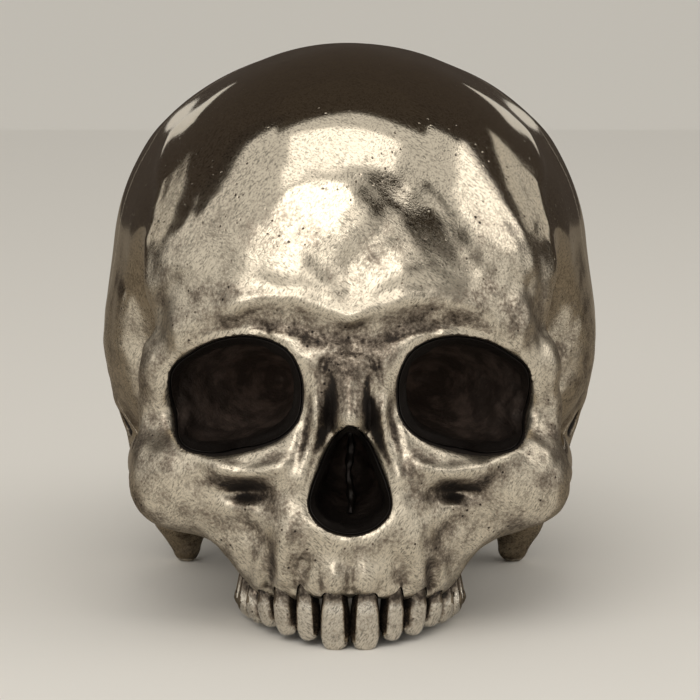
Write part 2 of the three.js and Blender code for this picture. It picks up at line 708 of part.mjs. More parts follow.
// A tooth with its root: ovals across the arch, one at each height of the profile.
function toothSolid({ angle, width, depth, gum, tip }, grow = 0) {
  const [x, y] = archPlace(angle, toothInwardShare * toothWidth);
  const along = new THREE.Vector2((archWidth / 2) * Math.cos(angle), archDepth * Math.sin(angle));
  along.normalize();
  const loops = toothProfileShares.map(([height, wide, deep], i) => {
    const end = i === 0 ? grow : i === toothProfileShares.length - 1 ? -grow : 0;
    const z = gum - height * (height < 0 ? rootLength : gum - tip) + end;
    return Array.from({ length: toothSegments }, (_, j) => {
      const turn = (2 * Math.PI * j) / toothSegments;
      const u = ((wide * width) / 2 + grow) * Math.cos(turn);
      const v = ((deep * depth) / 2 + grow) * Math.sin(turn);
      return new THREE.Vector3(x + u * along.x - v * along.y, y + u * along.y + v * along.x, z);
    });
  });
  return solid(loopGeometry(loops));
}

// The cheek arch: an oval bar along a smooth curve. Its thicker ends sit in sockets of the casting.
function cheekArchSolid(grow = 0) {
  const places = cheekArchShares.map((place) => new THREE.Vector3(...place).multiply(half));
  const curve = new THREE.CatmullRomCurve3(places);
  const loops = Array.from({ length: archSteps + 1 }, (_, i) => {
    const t = i / archSteps;
    const tangent = curve.getTangent(t);
    const centre = curve.getPoint(t).addScaledVector(tangent, i === 0 ? -grow : i === archSteps ? grow : 0);
    const outward = new THREE.Vector3(tangent.y, -tangent.x, 0).normalize();
    const upward = new THREE.Vector3().crossVectors(outward, tangent);
    const swell = 1 + cheekArchSwellShare * (2 * t - 1) ** 2;
    return Array.from({ length: roundSegments }, (__, j) => {
      const angle = (2 * Math.PI * j) / roundSegments;
      const point = centre.clone();
      point.addScaledVector(outward, ((cheekArchThickness * swell) / 2 + grow) * Math.cos(angle));
      return point.addScaledVector(upward, ((cheekArchHeight * swell) / 2 + grow) * Math.sin(angle));
    });
  });
  return solid(loopGeometry(loops));
}

// How far the hollow reaches from a point inside it, in a direction.
function hollowReach(from, direction) {
  let near = 0;
  let far = skullLength;
  for (let i = 0; i < reachRounds; i += 1) {
    const mid = (near + far) / 2;
    if (hollowForm(from.clone().addScaledVector(direction, mid)) < 0) near = mid;
    else far = mid;
  }
  return near;
}
const sideways = new THREE.Vector3(1, 0, 0);
const upwards = new THREE.Vector3(0, 0, 1);

// The ground in the ear-to-eye frame. It touches the front teeth and the mastoids, and cuts small flats on
// them.
const mastoidTip = new THREE.Vector3(
  mastoidTipShares[0] * halfBreadth,
  mastoidTipShares[1] * halfLength,
  mastoidTipRadius - mastoidDrop,
);
const [, biteY] = archPlace(teeth[0].angle, toothInwardShare * toothWidth);
const bite = new THREE.Vector3(0, biteY, teeth[0].tip);
const tipAngle = Math.atan2(-mastoidDrop - bite.z, mastoidTip.y - bite.y);
const standTurn = new THREE.Quaternion().setFromAxisAngle(sideways, -tipAngle);
const groundHeight = bite.clone().applyQuaternion(standTurn).z + footFlat;
const groundGeometry = new THREE.BoxGeometry(2 * skullLength, 2 * skullLength, cutOverrun);
groundGeometry.translate(0, 0, groundHeight - cutOverrun / 2).applyQuaternion(standTurn.clone().invert());
const ground = solid(groundGeometry);

// Screws come up through the base into bosses beside the hollow's walls, and dowels cross the seam between
// the shells, one at the crown and one at each side.
const screws = [baseFrontY + frontScrewInset, rearScrewShare * halfLength].flatMap((y) => {
  const x = hollowReach(new THREE.Vector3(0, y, baseZ), sideways) - screwInsetShare * bossDiameter;
  return [-x, x].map((across) => new THREE.Vector3(across, y, baseZ));
});
const sideHeight = sideDowelShare * crownHeight;
const dowelInset = dowelInsetShare * dowelBossDiameter;
const sideReach = hollowReach(new THREE.Vector3(0, seamY, sideHeight), sideways) - dowelInset;
const crownReach = hollowReach(new THREE.Vector3(0, seamY, 0), upwards) - dowelInset;
const dowels = [
  new THREE.Vector3(0, seamY, crownReach),
  new THREE.Vector3(-sideReach, seamY, sideHeight),
  new THREE.Vector3(sideReach, seamY, sideHeight),
];

// An upright cylinder on a screw's axis, from one height above the joint to another, and a level one on a
// dowel's axis, reaching equally far both ways.
function onScrew({ x, y, z }, low, high, diameter) {
  return rodSolid(new THREE.Vector3(x, y, z + low), new THREE.Vector3(x, y, z + high), diameter);
}
function onDowel({ x, y, z }, length, diameter) {
  const [from, to] = [y - length / 2, y + length / 2].map((end) => new THREE.Vector3(x, end, z));
  return rodSolid(from, to, diameter);
}

// The hollow leaves room for the bosses, so they grow out of the wall.
const evenShares = [[pastShare, 1]];
let space = solid(netGeometry(hollowForm, skullLattice(hollowStep, evenShares, evenShares, evenShares)));
for (const screw of screws) space = space.subtract(onScrew(screw, -crownHeight, bossHeight, bossDiameter));
for (const dowel of dowels) space = space.subtract(onDowel(dowel, dowelBossLength, dowelBossDiameter));

const foramenTop = new THREE.Vector3(0, foramenShare * halfLength, baseZ);
const foramenLow = foramenTop.clone().setZ(-crownHeight);
const earHoleInner = new THREE.Vector3(0, seamY + earHoleDiameter, earHoleRiseShare * crownHeight);
earHoleInner.x = hollowReach(earHoleInner, sideways) + wall;
const earHoleOuter = earHoleInner.clone().setX(halfBreadth + cutOverrun);

// The whole casting as one solid, before it is parted.
const mastoid = taperSolid(barPoint(mastoidMidShares), { place: mastoidTip, radius: mastoidTipRadius });
const lattice = skullLattice(skinStep, acrossLatticeShares, alongLatticeShares, upLatticeShares);
let casting = solid(netGeometry(skullForm, lattice)).add(mastoid).add(mirrored(mastoid)).subtract(space);
casting = casting.subtract(rodSolid(foramenLow, foramenTop, foramenDiameter, loopSegments));
casting = casting.subtract(holeSolid(nosePoint, noseDepth, 0));
const sideCuts = [
  holeSolid(orbitPoint, orbitDepth, 0),
  rodSolid(earHoleInner, earHoleOuter, earHoleDiameter),
  cheekArchSolid(fitGap),
];
for (const cut of sideCuts) casting = casting.subtract(cut).subtract(mirrored(cut));

// Halves of space that part the casting. Each stays half a fit gap back from the seam.
const lowCorner = new THREE.Vector3(-skullLength, -skullLength, -skullLength);
const highCorner = new THREE.Vector3(skullLength, skullLength, skullLength);
const ahead = boxSolid(lowCorner, highCorner.clone().setY(seamY - fitGap / 2));
const behind = boxSolid(lowCorner.clone().setY(seamY + fitGap / 2), highCorner);
const baseRoom = boxSolid(lowCorner.clone().setY(baseFrontY), highCorner.clone().setZ(baseZ + fitGap / 2));
const baseOnly = boxSolid(
  lowCorner.clone().setY(baseFrontY + fitGap),
  highCorner.clone().setZ(baseZ - fitGap / 2),
);

// A front or rear shell, with holes for the screws and dowels in its bosses.
const screwTop = screwLength - screwSeat;
function shellSolid(side) {
  let made = casting.intersect(side).subtract(baseRoom);
  for (const screw of screws) {
    made = made.subtract(onScrew(screw, -screwSeat, screwTop + pinFit, screwDiameter + 2 * pinFit));
  }
  for (const dowel of dowels) {
    made = made.subtract(onDowel(dowel, dowelLength + 2 * pinFit, dowelDiameter + 2 * pinFit));
  }
  return made;
}

function baseSolid() {
  const seat = -screwSeat - screwHeadHeight;
  let made = casting.intersect(baseOnly).subtract(ground);
  for (const screw of screws) {
    made = made.subtract(onScrew(screw, seat, screwSeat, screwDiameter + 2 * pinFit));
    made = made.subtract(onScrew(screw, -crownHeight, -screwSeat, screwHeadDiameter + 2 * fitGap));
  }
  return made;
}

// A socket-head screw that comes up from below, its head just clear of its seat.
function screwSolid(screw) {
  const seat = -screwSeat - pinFit;
  const head = onScrew(screw, seat - screwHeadHeight, seat, screwHeadDiameter);
  const shank = onScrew(screw, seat - screwHeadHeight / 2, screwTop - pinFit, screwDiameter);
  const from = screw.clone().setZ(screw.z - crownHeight);
  const to = screw.clone().setZ(screw.z + seat - screwHeadHeight / 2);
  return head.add(shank).subtract(rodSolid(from, to, screwSocketWidth, 6));
}

const skull = new THREE.Group();

function addPiece(name, made, look) {
  const { numProp, numVert, vertProperties, triVerts } = made.getMesh();
  const places = new Float32Array(numVert * 3);
  for (let i = 0; i < numVert; i += 1) {
    places.set(vertProperties.subarray(i * numProp, i * numProp + 3), i * 3);
  }
  const geometry = new THREE.BufferGeometry();
  geometry.setAttribute("position", new THREE.BufferAttribute(places, 3));
  geometry.setIndex(new THREE.BufferAttribute(triVerts, 1));
  const mesh = new THREE.Mesh(geometry, look);
  mesh.name = name;
  skull.add(mesh);
}

function addPair(name, made, look) {
  addPiece(`left_${name}`, made, look);
  addPiece(`right_${name}`, mirrored(made), look);
}

// The largest of the bodies that a cut has left, without any sliver.
function mainBody(made) {
  return made.decompose().reduce((a, b) => (a.volume() > b.volume() ? a : b));
}

let face = shellSolid(ahead);
for (const tooth of teeth) {
  const socket = toothSolid(tooth, fitGap);
  face = face.subtract(socket).subtract(mirrored(socket));
}
addPiece("face_shell", mainBody(face), castMetal);
addPiece("rear_shell", mainBody(shellSolid(behind)), castMetal);
addPiece("skull_base", mainBody(baseSolid()), castMetal);
addPair("cheek_arch", cheekArchSolid(), castMetal);
addPair("orbit_cup", liningSolid(orbitPoint, orbitDepth, cupWall), darkMetal);
addPiece("nasal_cup", liningSolid(nosePoint, noseDepth, noseCupWall), darkMetal);

const septumSlab = boxSolid(
  new THREE.Vector3(-septumThickness / 2, noseFront.y + septumSetback, -crownHeight),
  new THREE.Vector3(septumThickness / 2, 0, crownHeight),
);
const noseSpace = holeSolid(nosePoint, noseDepth - 2 * fitGap - noseCupWall, -2 * fitGap - noseCupWall);
addPiece("nasal_septum", septumSlab.intersect(noseSpace), darkMetal);

for (const tooth of teeth) addPair(tooth.name, toothSolid(tooth).subtract(ground), toothMetal);
screws.forEach((screw, i) => addPiece(`base_screw_${i + 1}`, screwSolid(screw), screwSteel));
dowels.forEach((dowel, i) => {
  addPiece(`seam_dowel_${i + 1}`, onDowel(dowel, dowelLength, dowelDiameter), screwSteel);
});

// Tipped back onto its feet, with the ground at z = 0 and the middle of its length at y = 0.
const stand = new THREE.Group();
skull.quaternion.copy(standTurn);
skull.position.z = -groundHeight;
stand.add(skull);
stand.updateMatrixWorld(true);
const reach = new THREE.Box3().setFromObject(stand, true);
skull.position.y = -(reach.min.y + reach.max.y) / 2;

export default stand;
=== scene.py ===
"""A life-size human skull without its lower jaw, cast in metal with an antique nickel finish."""

import json
import math

import bpy
import numpy as np
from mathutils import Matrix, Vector


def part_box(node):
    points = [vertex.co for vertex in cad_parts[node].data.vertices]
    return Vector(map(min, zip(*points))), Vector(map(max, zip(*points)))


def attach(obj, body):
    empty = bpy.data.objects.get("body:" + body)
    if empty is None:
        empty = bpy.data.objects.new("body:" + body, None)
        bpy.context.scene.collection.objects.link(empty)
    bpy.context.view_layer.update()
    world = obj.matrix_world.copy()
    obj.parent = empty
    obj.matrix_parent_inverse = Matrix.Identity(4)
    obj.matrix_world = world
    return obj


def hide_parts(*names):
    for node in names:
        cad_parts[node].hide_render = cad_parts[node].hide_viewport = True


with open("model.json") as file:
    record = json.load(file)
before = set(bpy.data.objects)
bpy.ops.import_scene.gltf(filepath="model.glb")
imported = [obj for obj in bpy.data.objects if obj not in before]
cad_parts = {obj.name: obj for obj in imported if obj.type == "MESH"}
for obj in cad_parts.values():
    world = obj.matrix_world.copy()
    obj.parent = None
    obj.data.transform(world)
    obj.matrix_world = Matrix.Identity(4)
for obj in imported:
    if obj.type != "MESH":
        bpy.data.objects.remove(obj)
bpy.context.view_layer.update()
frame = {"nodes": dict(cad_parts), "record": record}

# Sizes in millimetres, in the ear-to-eye frame: x across the skull, y from the face to the back and z up, with
# the origin midway between the ear holes. A share is a part of half the breadth, half the length and the crown's
# height. The face looks towards -y.
MM = 0.001
HALF_BREADTH = 72.0
HALF_LENGTH = 91.0
CROWN = 114.0
HALF = np.array([HALF_BREADTH, HALF_LENGTH, CROWN])
WALL = 4.0
FIT_GAP = 0.3
SEAM_Y = -0.02 * HALF_LENGTH
BASE_Z = -0.04 * CROWN

ARCH_WIDTH = 59.0
ARCH_DEPTH = 46.5
ARCH_BACK = 1.0055 * HALF_LENGTH - ARCH_DEPTH
BASE_FRONT_Y = 8.6 - ARCH_BACK
TOOTH_WIDTH = 7.8
TOOTH_DEPTH = 7.0
TOOTH_GAP = 1.0
TOOTH_INWARD = 0.16 * TOOTH_WIDTH
CROWN_LENGTH = 16.8
GUM_DROP = 0.3 * CROWN
ROOT_LENGTH = 9.0
MASTOID_DROP = 40.0
MASTOID_TIP_RADIUS = 4.2
MASTOID_TIP_Y = 0.14 * HALF_LENGTH
FORAMEN_DIAMETER = 31.0
FORAMEN_Y = 0.24 * HALF_LENGTH
EAR_HOLE_DIAMETER = 7.0
EAR_HOLE_Z = 0.02 * CROWN
EAR_HOLE_END = 0.86 * HALF_BREADTH
HOLLOW_FRONT = -0.84 * HALF_LENGTH

# How finely the castings are meshed.
FACE_STEP = 0.88
REAR_STEP = 1.5
BASE_STEP = 1.1
INNER_STEP = 4.0
PLAIN_STEP = 1.4
FINE_Y = (-106.0, -50)
FINE_Z = (-54.0, 48)
BASE_LOW = -50.0
HOLLOW_ROOM = ((-75.0, 76), (-90.0, 96), (-26.0, 118))
LATTICE_BLOCK = 6

# Masses of the braincase: blend in mm, centre and radii in shares.
VAULT = [
    (10.0, (0, 0.02, 0.44), (0.92, 0.965, 0.555)),
    (13.7, (0.33, 0.28, 0.46), (0.625, 0.56, 0.44)),
    (15.8, (0, -0.45, 0.52), (0.66, 0.49, 0.4)),
    (9.0, (0.55, 0.08, 0.235), (0.455, 0.48, 0.31)),
    (15.8, (0, 0.62, 0.25), (0.74, 0.39, 0.32)),
    (12.2, (0.27, 0.44, -0.04), (0.36, 0.36, 0.18)),
    (12.2, (0, 0, -0.04), (0.42, 0.5, 0.15)),
    (10.0, (0.52, 0.1, -0.06), (0.28, 0.26, 0.14)),
]
ORBIT_WALL = (10.0, (0.4, -0.5, 0.1), (0.27, 0.3, 0.24))
TEMPLE_HOLLOW = (7.2, (0.9, -0.5, 0.17), (0.235, 0.27, 0.33))
FACE_BALLS = [
    (13.7, (0.29, -0.64, 0.41), (0.45, 0.3, 0.22)),
    (9.0, (0, -0.885, 0.25), (0.28, 0.13, 0.1)),
    (7.9, (0.59, -0.75, -0.08), (0.21, 0.14, 0.105)),
    (9.0, (0.22, -0.78, -0.13), (0.25, 0.235, 0.19)),
]
OPEN_HOLLOWS = [
    (10.0, (0.44, -1.08, -0.15), (0.12, 0.12, 0.08)),
    (5.0, (0, -0.66, -0.4), (0.26, 0.28, 0.165)),
]

# Bars of bone: blend in mm, then shares of x, y, z and radius at each point.
BARS = [
    (9.0, [(0.06, -0.925, 0.235, 0.09), (0.2, -0.92, 0.29, 0.085), (0.4, -0.88, 0.34, 0.07),
           (0.52, -0.83, 0.345, 0.045)]),
    (7.2, [(0.17, -0.9, 0.235, 0.075), (0.26, -0.905, 0.305, 0.075), (0.4, -0.9, 0.335, 0.08),
           (0.58, -0.82, 0.295, 0.09), (0.685, -0.72, 0.19, 0.085)]),
    (7.2, [(0.685, -0.72, 0.19, 0.085), (0.715, -0.69, 0.11, 0.08), (0.7, -0.72, 0, 0.1),
           (0.66, -0.75, -0.06, 0.14)]),
    (7.2, [(0.71, -0.68, -0.065, 0.1), (0.76, -0.6, -0.07, 0.085)]),
    (7.9, [(0.19, -0.885, 0.06, 0.075), (0.29, -0.915, -0.01, 0.075), (0.46, -0.9, -0.045, 0.08),
           (0.62, -0.8, -0.02, 0.09)]),
    (7.9, [(0.09, -0.91, 0.25, 0.1), (0.12, -0.925, 0.1, 0.09), (0.2, -0.955, -0.04, 0.07),
           (0.25, -0.94, -0.14, 0.075)]),
    (7.9, [(0, -0.93, 0.25, 0.1), (0, -0.97, 0.17, 0.085), (0, -1.03, 0.1, 0.07)]),
    (7.2, [(0, -0.8, 0.12, 0.17), (0, -0.6, -0.02, 0.2)]),
    (9.0, [(0.62, -0.74, -0.095, 0.09), (0.5, -0.77, -0.125, 0.09), (0.4, -0.78, -0.175, 0.085),
           (0.345, -0.78, -0.235, 0.075)]),
    (9.0, [(0.74, 0.12, 0.06, 0.19), (0.72, 0.13, -0.12, 0.155), (0.695, 0.135, -0.22, 0.1)]),
    (5.0, [(0.2, 0.08, -0.2, 0.075), (0.27, 0.2, -0.21, 0.075)]),
    (6.0, [(0.2, -0.42, -0.1, 0.09), (0.26, -0.46, -0.3, 0.05)]),
]
BAR_JOIN = 1.44
FOLD = 2.0

# The gum ridge follows the dental arch in two rows: blend, heights, radii, how far it lies inside, and count.
GUM_ROWS = [
    (10.0, (-0.175, -0.237), (0.118, 0.09), (0.118, 0.065), 9),
    (6.0, (-0.272, -0.307), (0.075, 0.075), (0.07, 0.035), 10),
]
GUM_END = 1.47
ROOT_BLEND = 2.5
ROOT_INWARD = 0.62 * TOOTH_WIDTH
ROOT_LEAN = 0.97
ROOT_RISE = 0.85 * CROWN_LENGTH
ROOT_RADII = (0.36, 0.22)

CHEEK_ARCH = [(0.745, -0.62, -0.07), (0.8, -0.46, -0.07), (0.835, -0.3, -0.06), (0.835, -0.16, -0.045),
              (0.8, -0.06, -0.025)]
ARCH_HEIGHT = 10.5
ARCH_THICKNESS = 6.0

# The holes in the face. Each runs straight for a way, then slants by slant and rise for each mm of depth, and
# narrows by a share times (depth)^power. Its radii at equal steps round the rim are shares of half its size, which
# turn into round_share with depth by the part rounding. guard is the room kept clear round it inside the skull.
ORBIT = dict(
    centre=np.array([30.3, -0.88 * HALF_LENGTH, 16.2]), half=(17.6, 15.8), depth=44.0, straight=13.0, run=31.0,
    slant=-0.4, rise=0.06, rounding=1, round_share=0.93, narrows=0.75, power=1.5, scale=15.01, end_blend=6.0,
    edge=1.3, wall=2.0, guard=np.array([0.56, 0.52, 0.32]) * 35.2,
    shares=[1.02, 1.06, 0.975, 0.963, 0.988, 1.045, 1.1, 1.05, 1.005, 1.01, 0.96, 0.91, 0.951, 1.065, 1.19, 1.03])
NOSE_HALF_SHARES = [0.883, 0.91, 0.995, 1.06, 0.9, 0.8, 0.825, 0.94, 1.117]
NOSE = dict(
    centre=np.array([0.0, -0.99 * HALF_LENGTH, -0.0614 * CROWN]), half=(11.0, 14.5), depth=36.0, straight=4.0,
    run=36.0, slant=0, rise=0.12, rounding=0, round_share=0, narrows=0.3, power=1, scale=11.0, end_blend=5.0,
    edge=1.1, wall=1.6, guard=np.array([0.5, 0.5, 0.4]) * 29.0,
    shares=NOSE_HALF_SHARES[4:] + NOSE_HALF_SHARES[-2::-1] + NOSE_HALF_SHARES[1:4])
CUP_SETBACK = 1.0
CUP_LIP = 0.15
EAR_EDGE = 2.5
FORAMEN_EDGE = 3.0
MASTOID_BLEND = 6.0

# Teeth from the middle outwards: name, shares of width and depth, and how far the gum and the tip lie below the
# first tooth's gum, in shares of its crown's length.
TEETH = [
    ("central_incisor", 1, 1, 0, 1), ("lateral_incisor", 0.84, 0.91, 0, 0.87), ("canine", 0.96, 1.1, 0, 0.83),
    ("first_premolar", 0.89, 1.12, 0.12, 0.75), ("second_premolar", 0.87, 1.16, 0.2, 0.755),
    ("first_molar", 1.2, 1.24, 0.28, 0.74), ("second_molar", 1.13, 1.24, 0.34, 0.675),
]

# Where strokes in the front view fade out along y, and strokes in the side view along x.
FRONT_FADE = (-50, -62)
SIDE_FADE = (0.4 * HALF_BREADTH, 0.66 * HALF_BREADTH)
MIDDLE_FOLD = 0.4

# The uneven swell of the casting: height and length of its waves in mm, and the seed of their directions.
SWELLS = [(0.1, 27, 3), (0.2, 15, 4), (0.12, 6.5, 5)]
WAVE_COUNT = 10

# Over these heights, on planes that lean, the swell calms down and the finish goes from satin to mirror.
CALM_SPAN = (34.0, 84.0)
POLISH_SPAN = (32.0, 122.0)
POLISH_LEAN = 0.35
POLISH_RISE = 26


def joined(a, b, reach):
    """Least of two distances, blended where they differ by less than the reach."""
    near = np.maximum(reach - np.abs(a - b), 0)
    return np.minimum(a, b) - near * near / (4 * reach)


def carved(a, b, reach):
    """What is left of the solid a outside the solid b, with the edge between them rounded."""
    return -joined(-a, b, reach)


def common(a, b, reach):
    """Greatest of two distances, blended: the solid common to both."""
    return -joined(-a, -b, reach)


def smooth(low, high, value):
    """Rises from 0 at low to 1 at high along 3t^2 - 2t^3."""
    t = np.clip((value - low) / (high - low), 0, 1)
    return t * t * (3 - 2 * t)


def ball_distance(p, centre, radii):
    """Distance to an ellipsoid: its own scaled length k, times k - 1, over the slope of k."""
    centre = (np.array(centre) * HALF).astype(p.dtype)[:, None]
    radii = (np.array(radii) * HALF).astype(p.dtype)[:, None]
    q = (p - centre) / radii
    inside = np.sqrt((q * q).sum(0))
    q /= radii
    slope = np.sqrt((q * q).sum(0))
    return inside * (inside - 1) / np.maximum(slope, 1e-6)


def bar_distance(p, points, join=BAR_JOIN):
    """Distance to a bar through points: to the nearest place on each stretch, less the radius there."""
    points = np.asarray(points, p.dtype)
    least = None
    for a, b in zip(points[:-1], points[1:]):
        way = b[:3] - a[:3]
        off = p - a[:3, None]
        t = np.clip((way @ off) / (way @ way), 0, 1)
        off -= way[:, None] * t
        d = np.sqrt((off * off).sum(0)) - (a[3] + (b[3] - a[3]) * t)
        least = d if least is None else joined(least, d, join)
    return least


def bar_points(shares):
    """Places and radii of a bar in mm."""
    return np.array(shares) * np.array([*HALF, HALF_BREADTH])


def cubic(a, b, c, d, f):
    """Smooth curve from b to c at the place f between them, with slopes that follow from a and d."""
    return b + 0.5 * f * (c - a + f * (2 * a - 5 * b + 4 * c - d + f * (3 * (b - c) + d - a)))


def read_round(table, angle):
    """Smooth curve through a table of values at equal steps round a turn."""
    table = np.asarray(table, float)
    count = len(table)
    place = (angle / (2 * np.pi)) % 1.0 * count
    i = np.floor(place).astype(int)
    return cubic(*(table[(i + step) % count] for step in (-1, 0, 1, 2)), place - i)


def turn_of(count):
    """Angles at equal steps round a turn."""
    return np.linspace(0, 2 * np.pi, count, endpoint=False)


def arch_place(angle, inward_x=0.0, inward_y=None):
    """Point of the dental arch, half an ellipse seen from above, drawn in across and along."""
    inward_y = inward_x if inward_y is None else inward_y
    return np.array([(ARCH_WIDTH / 2 - inward_x) * np.sin(angle),
                     -ARCH_BACK - (ARCH_DEPTH - inward_y) * np.cos(angle)])


def place_teeth():
    """Stands the teeth side by side along the arch, a gap apart, by the length run along it."""
    angles = np.linspace(0, np.pi / 2, 401)
    points = arch_place(angles)
    run = np.concatenate([[0], np.cumsum(np.hypot(*np.diff(points, axis=1)))])
    widths = np.array([row[1] for row in TEETH]) * TOOTH_WIDTH
    middles = np.cumsum(widths + TOOTH_GAP) - (widths + TOOTH_GAP) / 2
    made = []
    for (name, width, depth, gum, end), middle in zip(TEETH, middles):
        made.append(dict(name=name, angle=float(np.interp(middle, run, angles)), width=width * TOOTH_WIDTH,
                         depth=depth * TOOTH_DEPTH, gum=-GUM_DROP - gum * CROWN_LENGTH,
                         tip=-GUM_DROP - end * CROWN_LENGTH))
    return made


teeth = place_teeth()


def tooth_frame(tooth):
    """The middle of a tooth on the dental arch, and the arch's direction there."""
    along = np.array([ARCH_WIDTH / 2 * math.cos(tooth["angle"]), ARCH_DEPTH * math.sin(tooth["angle"])])
    return arch_place(tooth["angle"], TOOTH_INWARD), along / np.linalg.norm(along)


def gum_bar(heights, radii, inward, count):
    """A row of the gum ridge, from the front of the dental arch to the last molar."""
    t = np.linspace(0, 1, count)
    x, y = arch_place(GUM_END * t, inward[0] * HALF_BREADTH, inward[1] * HALF_BREADTH)
    z = np.interp(t, (0, 1), heights) * CROWN
    return np.array([x, y, z, np.interp(t, (0, 1), radii) * HALF_BREADTH]).T


def root_ridge(tooth):
    """The ridge that a tooth's root raises on the jaw: a bar that thins, and leans to the middle as it rises."""
    foot = arch_place(tooth["angle"], ROOT_INWARD)
    top = arch_place(tooth["angle"] * ROOT_LEAN, TOOTH_WIDTH)
    return np.array([[*foot, tooth["gum"], ROOT_RADII[0] * tooth["width"]],
                     [*top, tooth["gum"] + ROOT_RISE, ROOT_RADII[1] * tooth["width"]]])


bars = [(blend, bar_points(points)) for blend, points in BARS]
bars += [(blend, gum_bar(*row)) for blend, *row in GUM_ROWS]
root_bars = [root_ridge(tooth) for tooth in teeth]
mastoid_bar = np.array([[0.705 * HALF_BREADTH, 0.132 * HALF_LENGTH, -0.18 * CROWN, 0.115 * HALF_BREADTH],
                        [0.675 * HALF_BREADTH, MASTOID_TIP_Y, MASTOID_TIP_RADIUS - MASTOID_DROP,
                         MASTOID_TIP_RADIUS]])


def folded(p, round_off=FOLD):
    """The same points on the left half, with the fold at the middle rounded off."""
    return np.stack([np.sqrt(p[0] ** 2 + round_off ** 2), p[1], p[2]])


def waves(p, length, seed):
    """Uneven swell between about -1 and 1: a sum of sine waves of one length in random directions."""
    rng = np.random.default_rng(seed)
    ways = rng.normal(size=(WAVE_COUNT, 3))
    ways /= np.linalg.norm(ways, axis=1)[:, None]
    ways = (ways * (2 * np.pi / length) * rng.uniform(0.8, 1.25, (WAVE_COUNT, 1))).astype(p.dtype)
    phases = rng.uniform(0, 2 * np.pi, WAVE_COUNT).astype(p.dtype)
    total = np.zeros(p.shape[1], p.dtype)
    for way, phase in zip(ways, phases):
        total += np.sin(way @ p + phase)
    return total / np.sqrt(WAVE_COUNT)


def vault_form(q):
    """The braincase alone."""
    d = None
    for blend, centre, radii in VAULT:
        mass = ball_distance(q, centre, radii)
        d = mass if d is None else joined(d, mass, blend)
    return d


def stroke_height(a, b, points, width):
    """Height of a stroke at places (a, b) of a flat view: the height given along its line, read at the nearest
    place of the line, times a bell exp(-(distance / width)^2)."""
    points = np.asarray(points, a.dtype)
    least = np.full(a.shape, np.inf, a.dtype)
    height = np.zeros_like(a)
    for (a0, b0, h0), (a1, b1, h1) in zip(points[:-1], points[1:]):
        wa, wb = a1 - a0, b1 - b0
        t = np.clip(((a - a0) * wa + (b - b0) * wb) / (wa * wa + wb * wb), 0, 1)
        gap = (a - a0 - t * wa) ** 2 + (b - b0 - t * wb) ** 2
        nearer = gap < least
        least = np.where(nearer, gap, least)
        height = np.where(nearer, h0 + (h1 - h0) * t, height)
    return height * np.exp(-least / (width * width))


# Strokes drawn in the front view on the face: width, then x, z and height above the skin at each point, in mm.
FRONT_STROKES = [
    (5.5, [(0, 42.5, 2.4), (7, 45, 2.2), (14, 47, 2.3), (22, 47.5, 1.7), (30, 47, 0.7), (37, 45, 0)]),
    (2.4, [(0, 37.4, 1.4), (7, 39.6, 1.5), (14, 42, 1.3), (22, 42.4, 1.3), (29, 41, 1.1), (36, 38, 0.3)]),
    (4.2, [(0, 31, -3.0), (5, 31.5, -2.8), (9, 32.5, -2.8), (14, 34.6, -2.9), (20, 35.6, -2.9), (27, 35.4, -2.5),
           (33, 34, -1.6), (39, 31, 0)]),
    (1.2, [(13, 30.5, 0.2), (20, 32.8, 0.9), (28, 33.0, 0.9), (36, 31.0, 0.7), (43, 27.0, 0.4)]),
    (1.5, [(22.6, 36.5, 0), (22.2, 33.4, -0.9), (21.8, 31, -0.6)]),
    (3.0, [(0, 24.5, -1.2), (4.5, 23.5, -0.6)]),
    (1.4, [(0, 28.4, -0.7), (4, 27.9, -0.8), (6.8, 25.8, -1.1), (8.2, 21, -0.7), (8.4, 15, -0.2)]),
    (1.9, [(0, 23, 0.4), (0, 14, 1.3), (0, 8, 1.8)]),
    (1.5, [(5.3, 21, -0.9), (4.9, 15, -1.6), (5.4, 9, -1.4), (7, 3.5, -0.5)]),
    (1.3, [(9.4, 21, 0.5), (8.9, 13, 1.3), (9.8, 5, 1.3), (12.4, -3, 0.6), (13, -10, 0.5)]),
    (1.4, [(12.2, 17, -0.3), (12, 10, -1.0), (13.2, 3, -0.9), (16, -3, -0.2)]),
    (2.0, [(13.5, 1.5, 0.4), (19, -2.2, 1.4), (27, -3.8, 1.8), (35, -2.5, 1.4), (42, 1, 0.7), (46, 6, 0.3)]),
    (2.8, [(16, -8.5, -0.4), (21, -9.2, -1.8), (28, -9.4, -2.6), (34, -8.6, -1.6), (40, -6, -0.4)]),
    (4.2, [(22, -15, -1.0), (24.5, -19.5, -2.0), (24, -25, -1.6), (23, -31, -0.6)]),
    (2.2, [(37, -13, 0.3), (31, -14.5, 0.9), (27, -13.5, 1.2), (23.5, -17, 0.8), (21, -20, 0.2)]),
    (2.0, [(16.2, -15, 0.3), (17.6, -23, 1.3), (18.4, -32, 1.5)]),
    (2.6, [(9.5, -23, -0.4), (11.6, -27, -1.5), (12.2, -32, -1.2)]),
    (1.3, [(0, -21.5, 0.9), (0, -24, 0.6), (0, -28, -0.6), (0, -34, -1.1)]),
    (1.9, [(4.6, -25, 0.1), (4.2, -30, 0.8), (4.2, -34, 0.9)]),
    (1.8, [(23.5, -24, 0.2), (24.5, -30, 0.9), (24.8, -34, 1.0)]),
    (1.1, [(8.1, -28, -0.1), (8.2, -34.5, -0.8)]),
    (1.1, [(13.9, -28, -0.1), (14.1, -34.5, -0.8)]),
    (1.3, [(21, -27, -0.2), (21.4, -35, -1.0)]),
    (2.4, [(45.5, 28, 0.8), (50, 18, 0.9), (50.5, 8, 0.5)]),
    (2.6, [(42, -11, 0.5), (38, -20, 0.7), (33, -25, 0.4)]),
]

